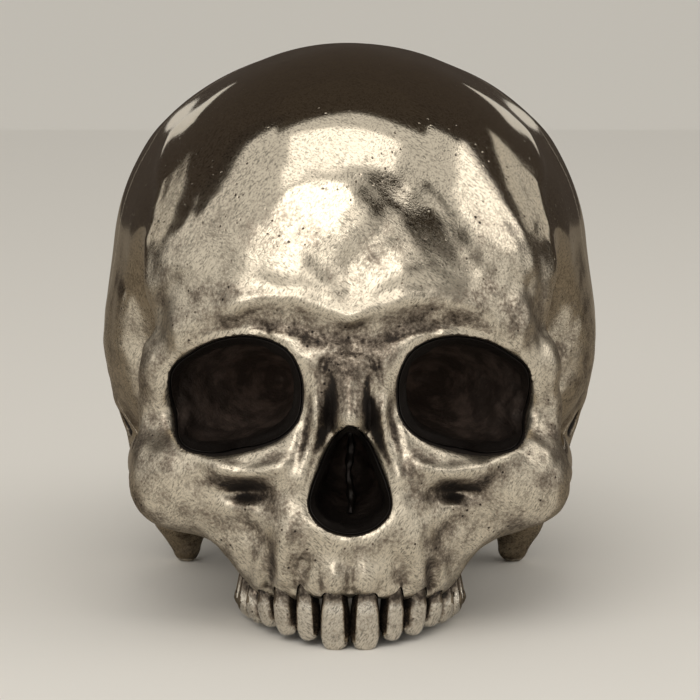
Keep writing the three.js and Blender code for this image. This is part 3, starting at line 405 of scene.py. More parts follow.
# Strokes drawn in the side view on the temples and the dome: width, then y, z and height, in mm.
SIDE_STROKES = [
    (4.4, [(-66, 30, 1.4), (-65, 41, 1.6), (-61, 55, 1.5), (-50, 72, 1.1), (-26, 86, 0.8), (4, 90, 0.4),
           (34, 80, 0)]),
    (3.0, [(-60, 30, -0.6), (-58, 42, -1.0), (-53, 56, -0.6), (-44, 68, 0)]),
]


def relief(p):
    """Height of every stroke above the skin at points p."""
    total = np.zeros_like(p[0])
    q = folded(p, MIDDLE_FOLD)
    front = smooth(*FRONT_FADE, p[1])
    for width, points in FRONT_STROKES:
        total += front * stroke_height(q[0], q[2], points, width)
    beside = smooth(*SIDE_FADE, q[0])
    for width, points in SIDE_STROKES:
        total += beside * stroke_height(q[1], q[2], points, width)
    return total


def polish_of(p, low, high):
    """How far the finish has gone up the skull: 0 on the face, rising over the forehead to 1 on the dome."""
    return smooth(low, high, p[2] + POLISH_LEAN * p[1] + POLISH_RISE)


def skin_form(p):
    """The skull's outer form before the holes are cut: masses and bars joined, hollows carved, strokes raised."""
    q = folded(p)
    d = joined(vault_form(q), ball_distance(q, *ORBIT_WALL[1:]), ORBIT_WALL[0])
    d = carved(d, ball_distance(q, *TEMPLE_HOLLOW[1:]), TEMPLE_HOLLOW[0])
    for blend, centre, radii in FACE_BALLS:
        d = joined(d, ball_distance(q, centre, radii), blend)
    for blend, points in bars:
        d = joined(d, bar_distance(q, points), blend)
    for blend, centre, radii in OPEN_HOLLOWS:
        d = carved(d, ball_distance(q, centre, radii), blend)
    for points in root_bars:
        d = joined(d, bar_distance(q, points), ROOT_BLEND)
    d = joined(d, bar_distance(q, mastoid_bar), MASTOID_BLEND)
    slow, middling, quick = (height * waves(p, length, seed) for height, length, seed in SWELLS)
    return d - relief(p) - (slow + (1 - polish_of(p, *CALM_SPAN)) * (middling + quick))


def hole_reach(hole, back, angle):
    """Reach of a hole's wall from its axis at a depth and an angle, as a share of half its size."""
    inward = np.clip((back - hole["straight"]) / hole["run"], 0, 1)
    turned = hole["rounding"] * inward
    reach = read_round(hole["shares"], angle) * (1 - turned) + hole["round_share"] * turned
    return reach * (1 - hole["narrows"] * inward ** hole["power"])


def hole_point(hole, back, angle, grow):
    """Point of a hole's wall at a depth behind its front and an angle round its slanting axis."""
    inward = np.maximum(back - hole["straight"], 0)
    reach = hole_reach(hole, back, angle)
    x, y, z = hole["centre"]
    return np.stack(np.broadcast_arrays(
        x + hole["slant"] * inward + (reach * hole["half"][0] + grow) * np.cos(angle),
        y + back,
        z + hole["rise"] * inward + (reach * hole["half"][1] + grow) * np.sin(angle)))


def hole_form(hole, q):
    """Distance to a hole: along a ray from its axis, and to its rounded end."""
    back = q[1] - hole["centre"][1]
    inward = np.maximum(back - hole["straight"], 0)
    u = (q[0] - hole["centre"][0] - hole["slant"] * inward) / hole["half"][0]
    v = (q[2] - hole["centre"][2] - hole["rise"] * inward) / hole["half"][1]
    side = (np.hypot(u, v) - hole_reach(hole, back, np.arctan2(v, u))) * hole["scale"]
    return common(side, back - hole["depth"], hole["end_blend"])


def casting_form(p):
    """The casting's outside with its holes: eye sockets, nose, ear holes and the hole under the skull."""
    q = folded(p, MIDDLE_FOLD)
    d = carved(skin_form(p), hole_form(ORBIT, q), ORBIT["edge"])
    d = carved(d, hole_form(NOSE, p), NOSE["edge"])
    ear = np.hypot(q[1] - SEAM_Y - EAR_HOLE_DIAMETER, q[2] - EAR_HOLE_Z) - EAR_HOLE_DIAMETER / 2
    d = carved(d, np.maximum(ear, EAR_HOLE_END - q[0]), EAR_EDGE)
    foramen = np.hypot(p[0], p[1] - FORAMEN_Y) - FORAMEN_DIAMETER / 2
    return carved(d, np.maximum(foramen, p[2] + 2), FORAMEN_EDGE)


def hollow_form(p):
    """The hollow of the braincase, a wall's thickness inside it and clear of the eye sockets and the nose."""
    q = folded(p)
    temple = ball_distance(q, *TEMPLE_HOLLOW[1:]) - WALL
    d = carved(vault_form(q) + WALL, temple, TEMPLE_HOLLOW[0])
    for hole in (ORBIT, NOSE):
        way = np.array([hole["slant"], 1, hole["rise"]]) * hole["depth"]
        guard = [[*(hole["centre"] + way * share), radius + WALL]
                 for share, radius in zip((0, 0.5, 1), hole["guard"])]
        d = carved(d, bar_distance(q, guard), WALL)
    return np.maximum(d, HOLLOW_FRONT - p[1])


def measured(form, p, dtype=np.float32, chunk=120000):
    """The form's distance at many points, worked out in chunks."""
    out = np.empty(p.shape[1], dtype)
    for start in range(0, p.shape[1], chunk):
        out[start:start + chunk] = form(p[:, start:start + chunk].astype(dtype))
    return out


def slope_of(form, p, here, step=0.05):
    """Slope of the form at points: the change over a small step along each axis."""
    slope = np.empty_like(p)
    for axis in range(3):
        moved = p.copy()
        moved[axis] += step
        slope[axis] = (measured(form, moved, np.float64) - here) / step
    return slope


def spread(values, block):
    """Each value of a lattice repeated over a block of its own."""
    return values.repeat(block, 0).repeat(block, 1).repeat(block, 2)


def sampled(form, axes, block=LATTICE_BLOCK):
    """The form's distance on a lattice. It is worked out at every sixth place first, and then at every place of
    the blocks that lie near the surface. The rest keep the rough value, which has the right sign."""
    coarse_axes = [axis[::block] for axis in axes]
    rough = np.array(np.meshgrid(*coarse_axes, indexing="ij")).reshape(3, -1)
    coarse = measured(form, rough).reshape([len(axis) for axis in coarse_axes])
    reach = max(np.linalg.norm([np.diff(axis).max() for axis in coarse_axes]) * 0.75, 3.0)
    near = np.abs(coarse) < reach
    for axis in range(3):
        near = np.moveaxis(near, axis, 0)
        near = np.moveaxis(near[:-1] | near[1:], 0, axis)
    values = spread(coarse, block)[tuple(slice(0, len(axis)) for axis in axes)].copy()
    wanted = np.zeros(values.shape, bool)
    near = spread(near, block)
    wanted[tuple(slice(0, n) for n in near.shape)] = near
    for axis in range(3):
        wanted |= np.roll(wanted, 1, axis)
    places = np.nonzero(wanted)
    points = np.stack([axis[place] for axis, place in zip(axes, places)])
    values[places] = measured(form, points)
    return values


def settle_squares(values):
    """Where only two opposite corners of a lattice square lie inside, the other corner nearest to the surface is
    counted as inside too, so that no two sheets of the surface share an edge."""
    for _ in range(8):
        turned = 0
        for a, b in ((0, 1), (1, 2), (0, 2)):
            v = np.moveaxis(values, (a, b), (0, 1))
            inside = v < 0
            first, second = inside[:-1, :-1], inside[1:, :-1]
            third, fourth = inside[1:, 1:], inside[:-1, 1:]
            i, j, k = np.nonzero((first == third) & (second == fourth) & (first != second))
            turned += len(i)
            for m in range(len(i)):
                corners = [(i[m], j[m], k[m]), (i[m] + 1, j[m], k[m]), (i[m] + 1, j[m] + 1, k[m]),
                           (i[m], j[m] + 1, k[m])]
                outer = [c for c in corners if v[c] >= 0]
                if len(outer) == 2:
                    v[min(outer, key=lambda c: v[c])] = -1e-4
        if not turned:
            return


def net(form, axes, rounds=3):
    """Closed surface where a form's distance is zero, on a lattice with any steps. A skull has undercuts that no
    single grid of two parameters can follow, so each lattice cell that the surface crosses holds one point, each
    lattice edge that it crosses is a face between four cells, and the points then settle on the surface."""
    values = sampled(form, axes)
    settle_squares(values)
    inside = values < 0
    shape = np.array(values.shape)
    corners, crossings = [], []
    for axis in range(3):
        along, ea, eb = np.roll(np.eye(3, dtype=int), -axis, 0)
        low = [slice(1, None)] * 3
        low[axis] = slice(0, -1)
        cross = np.argwhere(inside[tuple(low)] != inside[1:, 1:, 1:]) + 1 - along
        first = values[tuple(cross.T)]
        beyond = cross + along
        share = first / (first - values[tuple(beyond.T)])
        point = np.stack([ax[cross[:, n]] for n, ax in enumerate(axes)], 1).astype(float)
        line = axes[axis]
        point[:, axis] += share * (line[beyond[:, axis]] - line[cross[:, axis]])
        loop = np.stack([cross - ea - eb, cross - eb, cross, cross - ea], 1)
        out = first >= 0
        loop[out] = loop[out][:, ::-1]
        corners.append(loop)
        crossings.append(np.repeat(point[:, None], 4, 1))
    loops = np.concatenate(corners)
    points = np.concatenate(crossings).reshape(-1, 3)
    ids = np.ravel_multi_index(loops.reshape(-1, 3).T, shape)
    cells, ids = np.unique(ids, return_inverse=True)
    count = np.bincount(ids)
    v = np.stack([np.bincount(ids, points[:, n]) / count for n in range(3)])
    faces = ids.reshape(-1, 4)
    cell = np.array(np.unravel_index(cells, shape))
    low = np.stack([ax[c] for ax, c in zip(axes, cell)])
    high = np.stack([ax[c + 1] for ax, c in zip(axes, cell)])
    ends = np.concatenate([faces, np.roll(faces, -1, 1)], 1)
    start, stop = ends[:, :4].ravel(), ends[:, 4:].ravel()
    near_count = np.bincount(start, minlength=v.shape[1])
    for _ in range(rounds):
        near = np.stack([np.bincount(start, v[n][stop], v.shape[1]) for n in range(3)]) / near_count
        v = (v + near) / 2
        here = measured(form, v, np.float64)
        slope = slope_of(form, v, here)
        v = v - slope * np.clip(here / np.maximum((slope * slope).sum(0), 0.25), -1, 1)
        v = np.clip(v, low, high)
    return v.T, faces


def stretch(*stretches):
    """Places of a lattice's planes: from a start, in stretches (end, step) whose steps change by steps of 4%."""
    start, *parts = stretches
    places = [start]
    step = parts[0][1]
    for end, wanted in parts:
        while places[-1] < end:
            step = min(step * 1.04, wanted) if wanted > step else max(step * 0.96, wanted)
            places.append(places[-1] + step)
    places += [places[-1] + step * n for n in range(1, (1 - len(places)) % LATTICE_BLOCK + 1)]
    return np.array(places)


# The frame's own places: how far the skull is tipped back onto its feet, and where the ear-to-eye frame's origin
# stands. A side dowel lies at a known place of the ear-to-eye frame.
bite_y = arch_place(teeth[0]["angle"], TOOTH_INWARD)[1]
tip_angle = -math.atan2(-MASTOID_DROP - teeth[0]["tip"], MASTOID_TIP_Y - bite_y)
tip = np.array([[1, 0, 0], [0, math.cos(tip_angle), -math.sin(tip_angle)],
                [0, math.sin(tip_angle), math.cos(tip_angle)]])
dowel = np.array([(a + b) / 2 for a, b in zip(*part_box("seam_dowel_3"))]) / MM
dowel_place = tip @ np.array([0, SEAM_Y, 0.44 * CROWN])
shift = np.array([0, dowel[1] - dowel_place[1], dowel[2] - dowel_place[2]])


def stood(points):
    """Points of the ear-to-eye frame in millimetres, as points of the part in metres."""
    return (np.asarray(points) @ tip.T + shift) * MM


def laid(points):
    """Points of the part in metres, as points of the ear-to-eye frame in millimetres."""
    return (np.asarray(points) / MM - shift) @ tip


def mesh_of(name, points, faces):
    """A mesh from points in the ear-to-eye frame and rows of three or four corners."""
    mesh = bpy.data.meshes.new(name)
    points = stood(points)
    faces = np.asarray(faces)
    mesh.vertices.add(len(points))
    mesh.vertices.foreach_set("co", points.ravel().astype(np.float32))
    mesh.loops.add(faces.size)
    mesh.loops.foreach_set("vertex_index", faces.ravel().astype(np.int32))
    mesh.polygons.add(len(faces))
    mesh.polygons.foreach_set("loop_start", np.arange(0, faces.size, faces.shape[1], dtype=np.int32))
    mesh.update(calc_edges=True)
    return mesh


def piece_of(name, mesh):
    """An object at the origin that shows a mesh, or carries a lamp."""
    made = bpy.data.objects.new(name, mesh)
    bpy.context.scene.collection.objects.link(made)
    return made


def outward(points, faces):
    """A closed mesh's faces, turned so that the volume inside, a sum of a . (b x c), is above zero."""
    a = points[faces[:, 0]]
    volume = sum(np.einsum("ij,ij->i", a, np.cross(points[faces[:, n]], points[faces[:, n + 1]])).sum()
                 for n in range(1, faces.shape[1] - 1))
    return faces if volume >= 0 else faces[:, ::-1]


def cut(piece, operation, points, faces):
    """Cuts a closed piece with a closed mesh, or keeps only what lies inside it."""
    tool = piece_of("tool", mesh_of("tool", points, outward(points, faces)))
    modifier = piece.modifiers.new("cut", "BOOLEAN")
    modifier.operation = operation
    modifier.solver = "MANIFOLD"
    modifier.object = tool
    bpy.context.view_layer.update()
    cut_mesh = bpy.data.meshes.new_from_object(piece.evaluated_get(bpy.context.evaluated_depsgraph_get()))
    piece.modifiers.clear()
    old = piece.data
    piece.data = cut_mesh
    bpy.data.meshes.remove(old)
    bpy.data.objects.remove(tool)


def box_mesh(low, high):
    """Corners and faces of a box."""
    corners = np.array([[x, y, z] for x in (low[0], high[0]) for y in (low[1], high[1])
                        for z in (low[2], high[2])], float)
    faces = np.array([[0, 1, 3, 2], [4, 6, 7, 5], [0, 4, 5, 1], [2, 3, 7, 6], [0, 2, 6, 4], [1, 5, 7, 3]])
    return corners, faces


def tube_mesh(rings):
    """A tube through rings of points (ring, round, xyz), each end closed by a fan to its middle."""
    rings = np.asarray(rings)
    count, around = rings.shape[:2]
    points = np.concatenate([rings.reshape(-1, 3), rings[0].mean(0)[None], rings[-1].mean(0)[None]])
    i, j = np.meshgrid(np.arange(count - 1), np.arange(around), indexing="ij")
    a = i * around + j
    b = i * around + (j + 1) % around
    side = np.stack([a, b, b + around, a + around], -1).reshape(-1, 4)
    faces = np.concatenate([np.stack([side[:, 0], side[:, 1], side[:, 2]], 1),
                            np.stack([side[:, 0], side[:, 2], side[:, 3]], 1)])
    j = np.arange(around)
    last = (count - 1) * around
    start = np.stack([(j + 1) % around, j, np.full(around, count * around)], 1)
    finish = np.stack([last + j, last + (j + 1) % around, np.full(around, count * around + 1)], 1)
    faces = np.concatenate([faces, start, finish])
    return points, outward(points, faces)


# A tooth's width and depth along its height, as shares of its greatest: the root's end is at -1, the gum at 0 and
# the cutting edge at 1.
TOOTH_HEIGHTS = [-1, 0, 0.15, 0.4, 0.62, 0.76, 0.86, 0.93, 0.975, 1]
TOOTH_WIDTHS = [0.36, 0.72, 0.82, 0.94, 0.99, 0.96, 0.87, 0.7, 0.48, 0.16]
TOOTH_DEPTHS = [0.42, 0.86, 0.94, 1, 0.88, 0.74, 0.61, 0.48, 0.34, 0.12]
TOOTH_SQUARE = 2.2
CUSP_HEIGHT = 0.9


def tooth_rings(tooth, grow=0.0, fine=True):
    """A tooth as rounded squares (|cos|^n + |sin|^n)^(-1/n) across the dental arch. Widths and depths follow its
    height by the tables, molars have four cusps by a wave of twice the angle, and the crown is lightly fluted."""
    heights = np.concatenate([[-1, -0.6], np.linspace(-0.2, 1, 34 if fine else 14)])
    wide = np.interp(heights, TOOTH_HEIGHTS, TOOTH_WIDTHS)[:, None] * tooth["width"] / 2
    deep = np.interp(heights, TOOTH_HEIGHTS, TOOTH_DEPTHS)[:, None] * tooth["depth"] / 2
    (x, y), along = tooth_frame(tooth)
    turn = turn_of(40 if fine else 20)
    ch, sh = np.cos(turn)[None], np.sin(turn)[None]
    flute = 1 + 0.02 * np.cos(6 * turn[None] + 2) * smooth(0, 0.5, heights)[:, None]
    square = (np.abs(ch) ** TOOTH_SQUARE + np.abs(sh) ** TOOTH_SQUARE) ** (-1 / TOOTH_SQUARE)
    square = square * (0.94 + 0.16 * np.exp(-((sh - 0.3) / 0.35) ** 2) if fine else 1)
    u = (wide * square * flute + grow) * ch
    v = (deep * square * flute + grow) * sh
    reach = np.where(heights < 0, ROOT_LENGTH, tooth["gum"] - tooth["tip"])
    z = np.broadcast_to((tooth["gum"] - heights * reach)[:, None], u.shape).copy()
    if tooth["depth"] > 1.15 * TOOTH_DEPTH:
        z += CUSP_HEIGHT * np.cos(2 * turn[None] + np.pi) ** 2 * smooth(0.8, 1, heights)[:, None]
    z[0] += grow
    z[-1] -= grow
    return np.stack([x + u * along[0] - v * along[1], y + u * along[1] + v * along[0], z], -1)


def cheek_arch_rings(grow=0.0, steps=60, around=32):
    """The cheek arch: an oval carried along a smooth curve, thicker at its ends by the square of the place."""
    places = np.array(CHEEK_ARCH) * HALF
    t = np.linspace(0, 1, steps)
    scaled = t * (len(places) - 1)
    i = np.minimum(scaled.astype(int), len(places) - 2)
    ends = np.concatenate([[2 * places[0] - places[1]], places, [2 * places[-1] - places[-2]]])
    centre = cubic(ends[i], ends[i + 1], ends[i + 2], ends[i + 3], (scaled - i)[:, None])
    way = np.gradient(centre, axis=0)
    way /= np.linalg.norm(way, axis=1)[:, None]
    centre[0] -= grow * way[0]
    centre[-1] += grow * way[-1]
    aside = np.stack([way[:, 1], -way[:, 0], np.zeros(steps)], 1)
    aside /= np.linalg.norm(aside, axis=1)[:, None]
    upward = np.cross(aside, way)
    swell = (1 + 0.25 * (2 * t - 1) ** 2)[:, None, None]
    angle = turn_of(around)
    ring = (swell * ARCH_THICKNESS / 2 + grow) * np.cos(angle)[None, :, None] * aside[:, None]
    ring = ring + (swell * ARCH_HEIGHT / 2 + grow) * np.sin(angle)[None, :, None] * upward[:, None]
    return centre[:, None] + ring


def mirrored(rings):
    """Rings turned over to the other side."""
    return rings * np.array([-1, 1, 1])


def build_shell(name, form, axes, cuts):
    """A casting: its fine skin, cut back to its own side of each seam, and cut by the hollow and the sockets."""
    points, faces = net(form, axes)
    made = piece_of(name, mesh_of(name, points, outward(points, faces)))
    for operation, tool in cuts:
        cut(made, operation, *tool)
    return made


def together(tools):
    """Several closed meshes as one."""
    starts = np.cumsum([0] + [len(points) for points, _ in tools])
    return (np.concatenate([points for points, _ in tools]),
            np.concatenate([faces + start for (_, faces), start in zip(tools, starts)]))


def both_sides(rings):
    """Tubes through rings on the left and through their mirror image on the right."""
    return [tube_mesh(rings), tube_mesh(mirrored(rings))]


# A cup's rings close in over the last part of its depth, and its mouth thins to a lip over the first part. Its
# mouth is looked for over a reach in mm. Its unevenness has waves of a height, a length in mm and a seed.
CUP_CLOSES = 0.16
CUP_OPENS = 0.12
CUP_LEAST = 0.08
MOUTH_REACH, MOUTH_STEP = (-14, 24), 0.25
CUP_WAVES = ((0.35, 9, 11), (0.16, 3.2, 12))
CUP_UNEVEN = 0.06


def cup_rings(hole, depth, grow, front, rings, around, lip=0.0):
    """Rings down a hole's wall. The place runs evenly from the front to the end, and over the last part of it the
    rings close in by sqrt(1 - t^2). At the front the wall thins to a lip."""
    angle = turn_of(around)
    made = []
    for share in np.linspace(0, 1, rings):
        back = front + (depth - front) * share
        loop = hole_point(hole, back, angle, grow + lip * (1 - smooth(0, CUP_OPENS, share))).T
        past = max(share - 1 + CUP_CLOSES, 0) / CUP_CLOSES
        close = max(math.sqrt(max(1 - past * past, 0)), CUP_LEAST)
        middle = loop.mean(0)
        made.append(np.stack([middle[0] + (loop[:, 0] - middle[0]) * close, loop[:, 1],
                              middle[2] + (loop[:, 2] - middle[2]) * close], 1))
    return np.array(made)


def cup_mesh(hole, around=96):
    """A cup that lines a hole: its outer wall from the end to the face, and its inner wall back again. Its mouth
    lies a setback inside the skin, found along each line of the wall, and its inner wall is uneven by waves."""
    angle = turn_of(around)
    backs = np.arange(*MOUTH_REACH, MOUTH_STEP)
    grid_back, grid_angle = np.meshgrid(backs, angle, indexing="ij")
    points = hole_point(hole, grid_back.ravel(), grid_angle.ravel(), -FIT_GAP)
    inside = measured(skin_form, points).reshape(grid_back.shape) < -CUP_SETBACK
    front = backs[np.argmax(inside, 0)]
    for _ in range(4):
        front = (np.roll(front, 1) + 2 * front + np.roll(front, -1)) / 4
    depth, wall = hole["depth"] - FIT_GAP, hole["wall"]
    outer = cup_rings(hole, depth, -FIT_GAP, front, 40, around)
    inner = cup_rings(hole, depth - wall, -FIT_GAP - wall, front, 60, around, wall - CUP_LIP)
    flat = inner.reshape(-1, 3).T
    rough = sum(height * waves(flat, length, seed) for height, length, seed in CUP_WAVES).reshape(inner.shape[:2])
    rough *= smooth(0, CUP_OPENS, np.linspace(0, 1, len(inner)))[:, None]
    middle = inner.mean(1)[:, None]
    inner = middle + (inner - middle) * (1 - np.maximum(rough, -0.4)[..., None] * CUP_UNEVEN)
    return tube_mesh(np.concatenate([inner[::-1], outer]))


# The septum: where its top and bottom are read, how far it lies behind the nose's front and before its end, half
# its thickness, its bend, and the power that squares its oval, in mm but for the last.
SEPTUM_AT, SEPTUM_FRONT, SEPTUM_END = 12.0, 10.5, 6
SEPTUM_HALF, SEPTUM_BEND, SEPTUM_SQUARE = 1.0, 0.35, 0.4


def septum_rings():
    """The plate that divides the nose: a thin oval at each height, whose front edge, thickness and bend wander by
    slow waves."""
    turn = turn_of(40)
    t = np.linspace(0, 1, 60)[:, None]
    low, high = hole_point(NOSE, np.full(2, SEPTUM_AT), np.array([-0.5, 0.5]) * np.pi,
                           -NOSE["wall"] - 3 * FIT_GAP)[2]
    front = NOSE["centre"][1] + SEPTUM_FRONT + 1.2 * np.sin(2.3 * np.pi * t + 1) + 0.4 * np.sin(9 * np.pi * t)
    end = NOSE["centre"][1] + NOSE["depth"] - SEPTUM_END
    thick = SEPTUM_HALF + 0.35 * np.cos(7 * np.pi * t + 2) * np.sin(3 * np.pi * t)
    bend = SEPTUM_BEND * np.sin(3.1 * np.pi * t)
    y = (front + end) / 2 - (end - front) / 2 * np.cos(turn)
    edge = np.abs(np.sin(turn)) ** SEPTUM_SQUARE * np.sign(np.sin(turn))
    return np.stack([bend + thick * edge, y, np.broadcast_to(low + (high - low) * t, y.shape)], -1)


hollow = net(hollow_form, [stretch(low, (high, INNER_STEP)) for low, high in HOLLOW_ROOM])
far = 200.0
half_gap = FIT_GAP / 2
behind = box_mesh((-far, SEAM_Y - half_gap, -far), (far, far, far))
ahead = box_mesh((-far, -far, -far), (far, SEAM_Y + half_gap, far))
base_room = box_mesh((-far, BASE_FRONT_Y, -far), (far, far, BASE_Z + half_gap))
base_only = box_mesh((-far, BASE_FRONT_Y + FIT_GAP, -far), (far, far, BASE_Z - half_gap))
sockets = together([tube for tooth in teeth for tube in both_sides(tooth_rings(tooth, 0.2, False))])
arch_sockets = together(both_sides(cheek_arch_rings(FIT_GAP)))


def face_form(p):
    """The casting ahead of a place just past the seam."""
    return np.maximum(casting_form(p), p[1] - SEAM_Y - WALL)


def rear_form(p):
    """The casting behind a place just before the seam, and above the base."""
    return np.maximum(casting_form(p), np.maximum(SEAM_Y - WALL - p[1], BASE_Z - WALL - p[2]))


def base_form(p):
    """The underside of the casting."""
    return np.maximum(casting_form(p), np.maximum(p[2] - BASE_Z - WALL, BASE_FRONT_Y - WALL - p[1]))


across = HALF_BREADTH + WALL
face_casting = build_shell("face_casting", face_form, (
    stretch(-across, (across, FACE_STEP)),
    stretch(FINE_Y[0], (FINE_Y[1], FACE_STEP), (SEAM_Y + 2 * WALL, PLAIN_STEP)),
    stretch(FINE_Z[0], (FINE_Z[1], FACE_STEP), (CROWN + WALL, PLAIN_STEP))),
    [("DIFFERENCE", tool) for tool in (behind, base_room, hollow, sockets, arch_sockets)])
rear_casting = build_shell("rear_casting", rear_form, (
    stretch(-across, (across, REAR_STEP)), stretch(SEAM_Y - 2 * WALL, (HALF_LENGTH + WALL, REAR_STEP)),
    stretch(BASE_Z - 2 * WALL, (CROWN + WALL, REAR_STEP))),
    [("DIFFERENCE", tool) for tool in (ahead, base_room, hollow, arch_sockets)])
base_casting = build_shell("base_casting", base_form, (
    stretch(-across, (across, BASE_STEP)), stretch(BASE_FRONT_Y - 2 * WALL, (HALF_LENGTH, BASE_STEP)),
    stretch(BASE_LOW, (BASE_Z + 2 * WALL, BASE_STEP))),
    [("INTERSECT", base_only), ("DIFFERENCE", hollow), ("DIFFERENCE", arch_sockets)])


def shade(piece, sharp=35.0):
    """Smooth shading, with the edges sharper than an angle left sharp."""
    piece.data.polygons.foreach_set("use_smooth", np.ones(len(piece.data.polygons), bool))
    piece.data.set_sharp_from_angle(angle=math.radians(sharp))


def store(piece, **fields):
    """Writes named attributes, each of one value a point or of one value for all."""
    count = len(piece.data.vertices)
    for name, values in fields.items():
        attribute = piece.data.attributes.new(name, "FLOAT", "POINT")
        attribute.data.foreach_set("value", np.ascontiguousarray(np.broadcast_to(values, count), np.float32))


def points_of(piece):
    """Points of a piece in the ear-to-eye frame, in millimetres, as three rows."""
    co = np.empty(len(piece.data.vertices) * 3, np.float32)
    piece.data.vertices.foreach_get("co", co)
    return laid(co.reshape(-1, 3)).T


# Steps in mm out of the surface, or into it below 0, that find hollows and edges, and what each counts.
HOLLOW_STEPS = ((1.2, 0.8), (3.0, 0.9), (7.0, 0.7))
EDGE_STEPS = ((-0.9, 1.2), (-2.2, 0.8))
# How near a hole, in mm, its rim starts to get a painted highlight and has it in full,
# and its wall starts to get painted shade and has it in full.
ORBIT_RIM, NOSE_RIM, HOLE_WALL = (2.6, 0.6), (2.2, 0.5), (1.5, 0.3)
HOLES_AHEAD_OF = -30
# Where the jaw gets painted light and the nose bridge painted shade.
JAW_TOP, JAW_BACK = (-6, -16), (-50, -66)
BRIDGE_TOP, BRIDGE_END, BRIDGE_WIDTH, BRIDGE_BACK = (30, 22), (0, 8), 8, -60


def wear_and_shade(piece):
    """Where dark patina gathers and where edges are rubbed bright, from the form itself, with painted shade and
    painted highlights laid over them. A step out from the surface gains less distance than its own length in a
    hollow. A step inwards loses less on an edge. The rims of the eye sockets and the nose get a painted highlight
    and their walls painted shade. The jaw gets painted light by losing part of its patina, and the nose bridge and
    the grooves of the strokes get painted shade, their ridges a painted highlight. sunk is how deep a point lies
    under the uncut skin; the material paints shade from it."""
    p = points_of(piece)
    here = measured(casting_form, p, np.float64)
    slope = slope_of(casting_form, p, here)
    length = np.maximum(np.sqrt((slope * slope).sum(0)), 0.2)
    way = slope / length
    hollow_patina_and_shade, edge_wear_and_highlight = np.zeros((2, p.shape[1]))
    for part, steps in ((hollow_patina_and_shade, HOLLOW_STEPS), (edge_wear_and_highlight, EDGE_STEPS)):
        for step, weight in steps:
            gained = measured(casting_form, p + way * step, np.float64) - here
            part += weight * np.clip(1 - gained / (length * step), 0, 1)
    near_orbit, near_nose = hole_form(ORBIT, folded(p, MIDDLE_FOLD)), hole_form(NOSE, p)
    ahead_part = p[1] < HOLES_AHEAD_OF
    # Painted highlight along the rims of the eye sockets and the nose, and painted shade on their walls through
    # sunk.
    rim_highlight = (smooth(*ORBIT_RIM, near_orbit) + 1.4 * smooth(*NOSE_RIM, near_nose)) * ahead_part
    hole_shade = (smooth(*HOLE_WALL, near_orbit) + smooth(*HOLE_WALL, near_nose)) * ahead_part
    raised = relief(p)
    # Painted light: the jaw loses half of its patina.
    jaw_light = smooth(*JAW_TOP, p[2]) * smooth(*JAW_BACK, p[1])
    # Painted shade on the nose bridge.
    bridge_shade = np.exp(-(p[0] / BRIDGE_WIDTH) ** 2) * smooth(*BRIDGE_TOP, p[2]) * smooth(*BRIDGE_END, p[2])
    bridge_shade *= p[1] < BRIDGE_BACK
    # Painted shade in the grooves of the strokes, where their height lies below the skin.
    hollow_patina_and_shade = (1 - 0.5 * jaw_light) * hollow_patina_and_shade + 0.15 * np.clip(-raised, 0, 3) + 0.35 * bridge_shade
    under = np.clip(-measured(skin_form, p, np.float64), 0, 20)
    # On the strokes' ridges the edge value adds a painted highlight, as on the rims.
    store(piece, hollow=hollow_patina_and_shade * (1 - 0.6 * np.clip(rim_highlight, 0, 1)),
          edge=edge_wear_and_highlight + 0.8 * rim_highlight + 0.14 * np.clip(raised, 0, 2),
          sunk=under + 4 * hole_shade * smooth(0.1, 0.6, under), polish=polish_of(p, *POLISH_SPAN))


for casting in (face_casting, rear_casting, base_casting):
    shade(casting)
    wear_and_shade(casting)


def bare_piece(name, rings):
    """A piece that is one closed tube through rings."""
    made = piece_of(name, mesh_of(name, *tube_mesh(rings)))
    shade(made, 50.0)
    return made


def tooth_wear_and_shade(piece, tooth):
    """Leaves a tooth dark on the sides that face its neighbours and at the gum, gives its back painted shade, and
    leaves it bright at its tip.
    """
    p = points_of(piece)
    (x, y), along = tooth_frame(tooth)
    u, v = np.abs(p[0]) - x, p[1] - y
    beside = np.abs(u * along[0] + v * along[1]) / (tooth["width"] / 2)
    behind_part = (u * along[1] - v * along[0]) / (tooth["depth"] / 2)
    height = (tooth["gum"] - p[2]) / (tooth["gum"] - tooth["tip"])
    gum_part = smooth(3.2, 0.2, measured(casting_form, p))
    dark = smooth(0.66, 0.98, beside) * (1 - 0.6 * smooth(0.6, 1, height)) + 0.9 * gum_part \
        + 0.8 * smooth(0, 0.6, -behind_part)
    # hollow holds the dark sides and gum and the painted shade on the back.
    store(piece, hollow=np.clip(dark, 0, 2), edge=0.6 * smooth(0.7, 1, height), sunk=0, polish=0.25)


pieces = {"face_shell": face_casting, "rear_shell": rear_casting, "skull_base": base_casting}
for side, turned in (("left", np.asarray), ("right", mirrored)):
    for tooth in teeth:
        made = bare_piece(f"{side}_{tooth['name']}_crown", turned(tooth_rings(tooth)))
        tooth_wear_and_shade(made, tooth)
        pieces[f"{side}_{tooth['name']}"] = made
    made = bare_piece(f"{side}_cheek_arch_bar", turned(cheek_arch_rings(0.0, 120, 48)))
    store(made, hollow=1.1 * smooth(3.0, 0.3, measured(casting_form, points_of(made))), edge=0, sunk=0, polish=0.4)
    pieces[f"{side}_cheek_arch"] = made

orbit_points, orbit_faces = cup_mesh(ORBIT)
pieces["left_orbit_cup"] = piece_of("left_eye_lining", mesh_of("left_eye_lining", orbit_points, orbit_faces))
pieces["right_orbit_cup"] = piece_of("right_eye_lining", mesh_of(
    "right_eye_lining", mirrored(orbit_points), orbit_faces[:, ::-1]))
pieces["nasal_cup"] = piece_of("nose_lining", mesh_of("nose_lining", *cup_mesh(NOSE)))
pieces["nasal_septum"] = bare_piece("nose_divider", septum_rings())
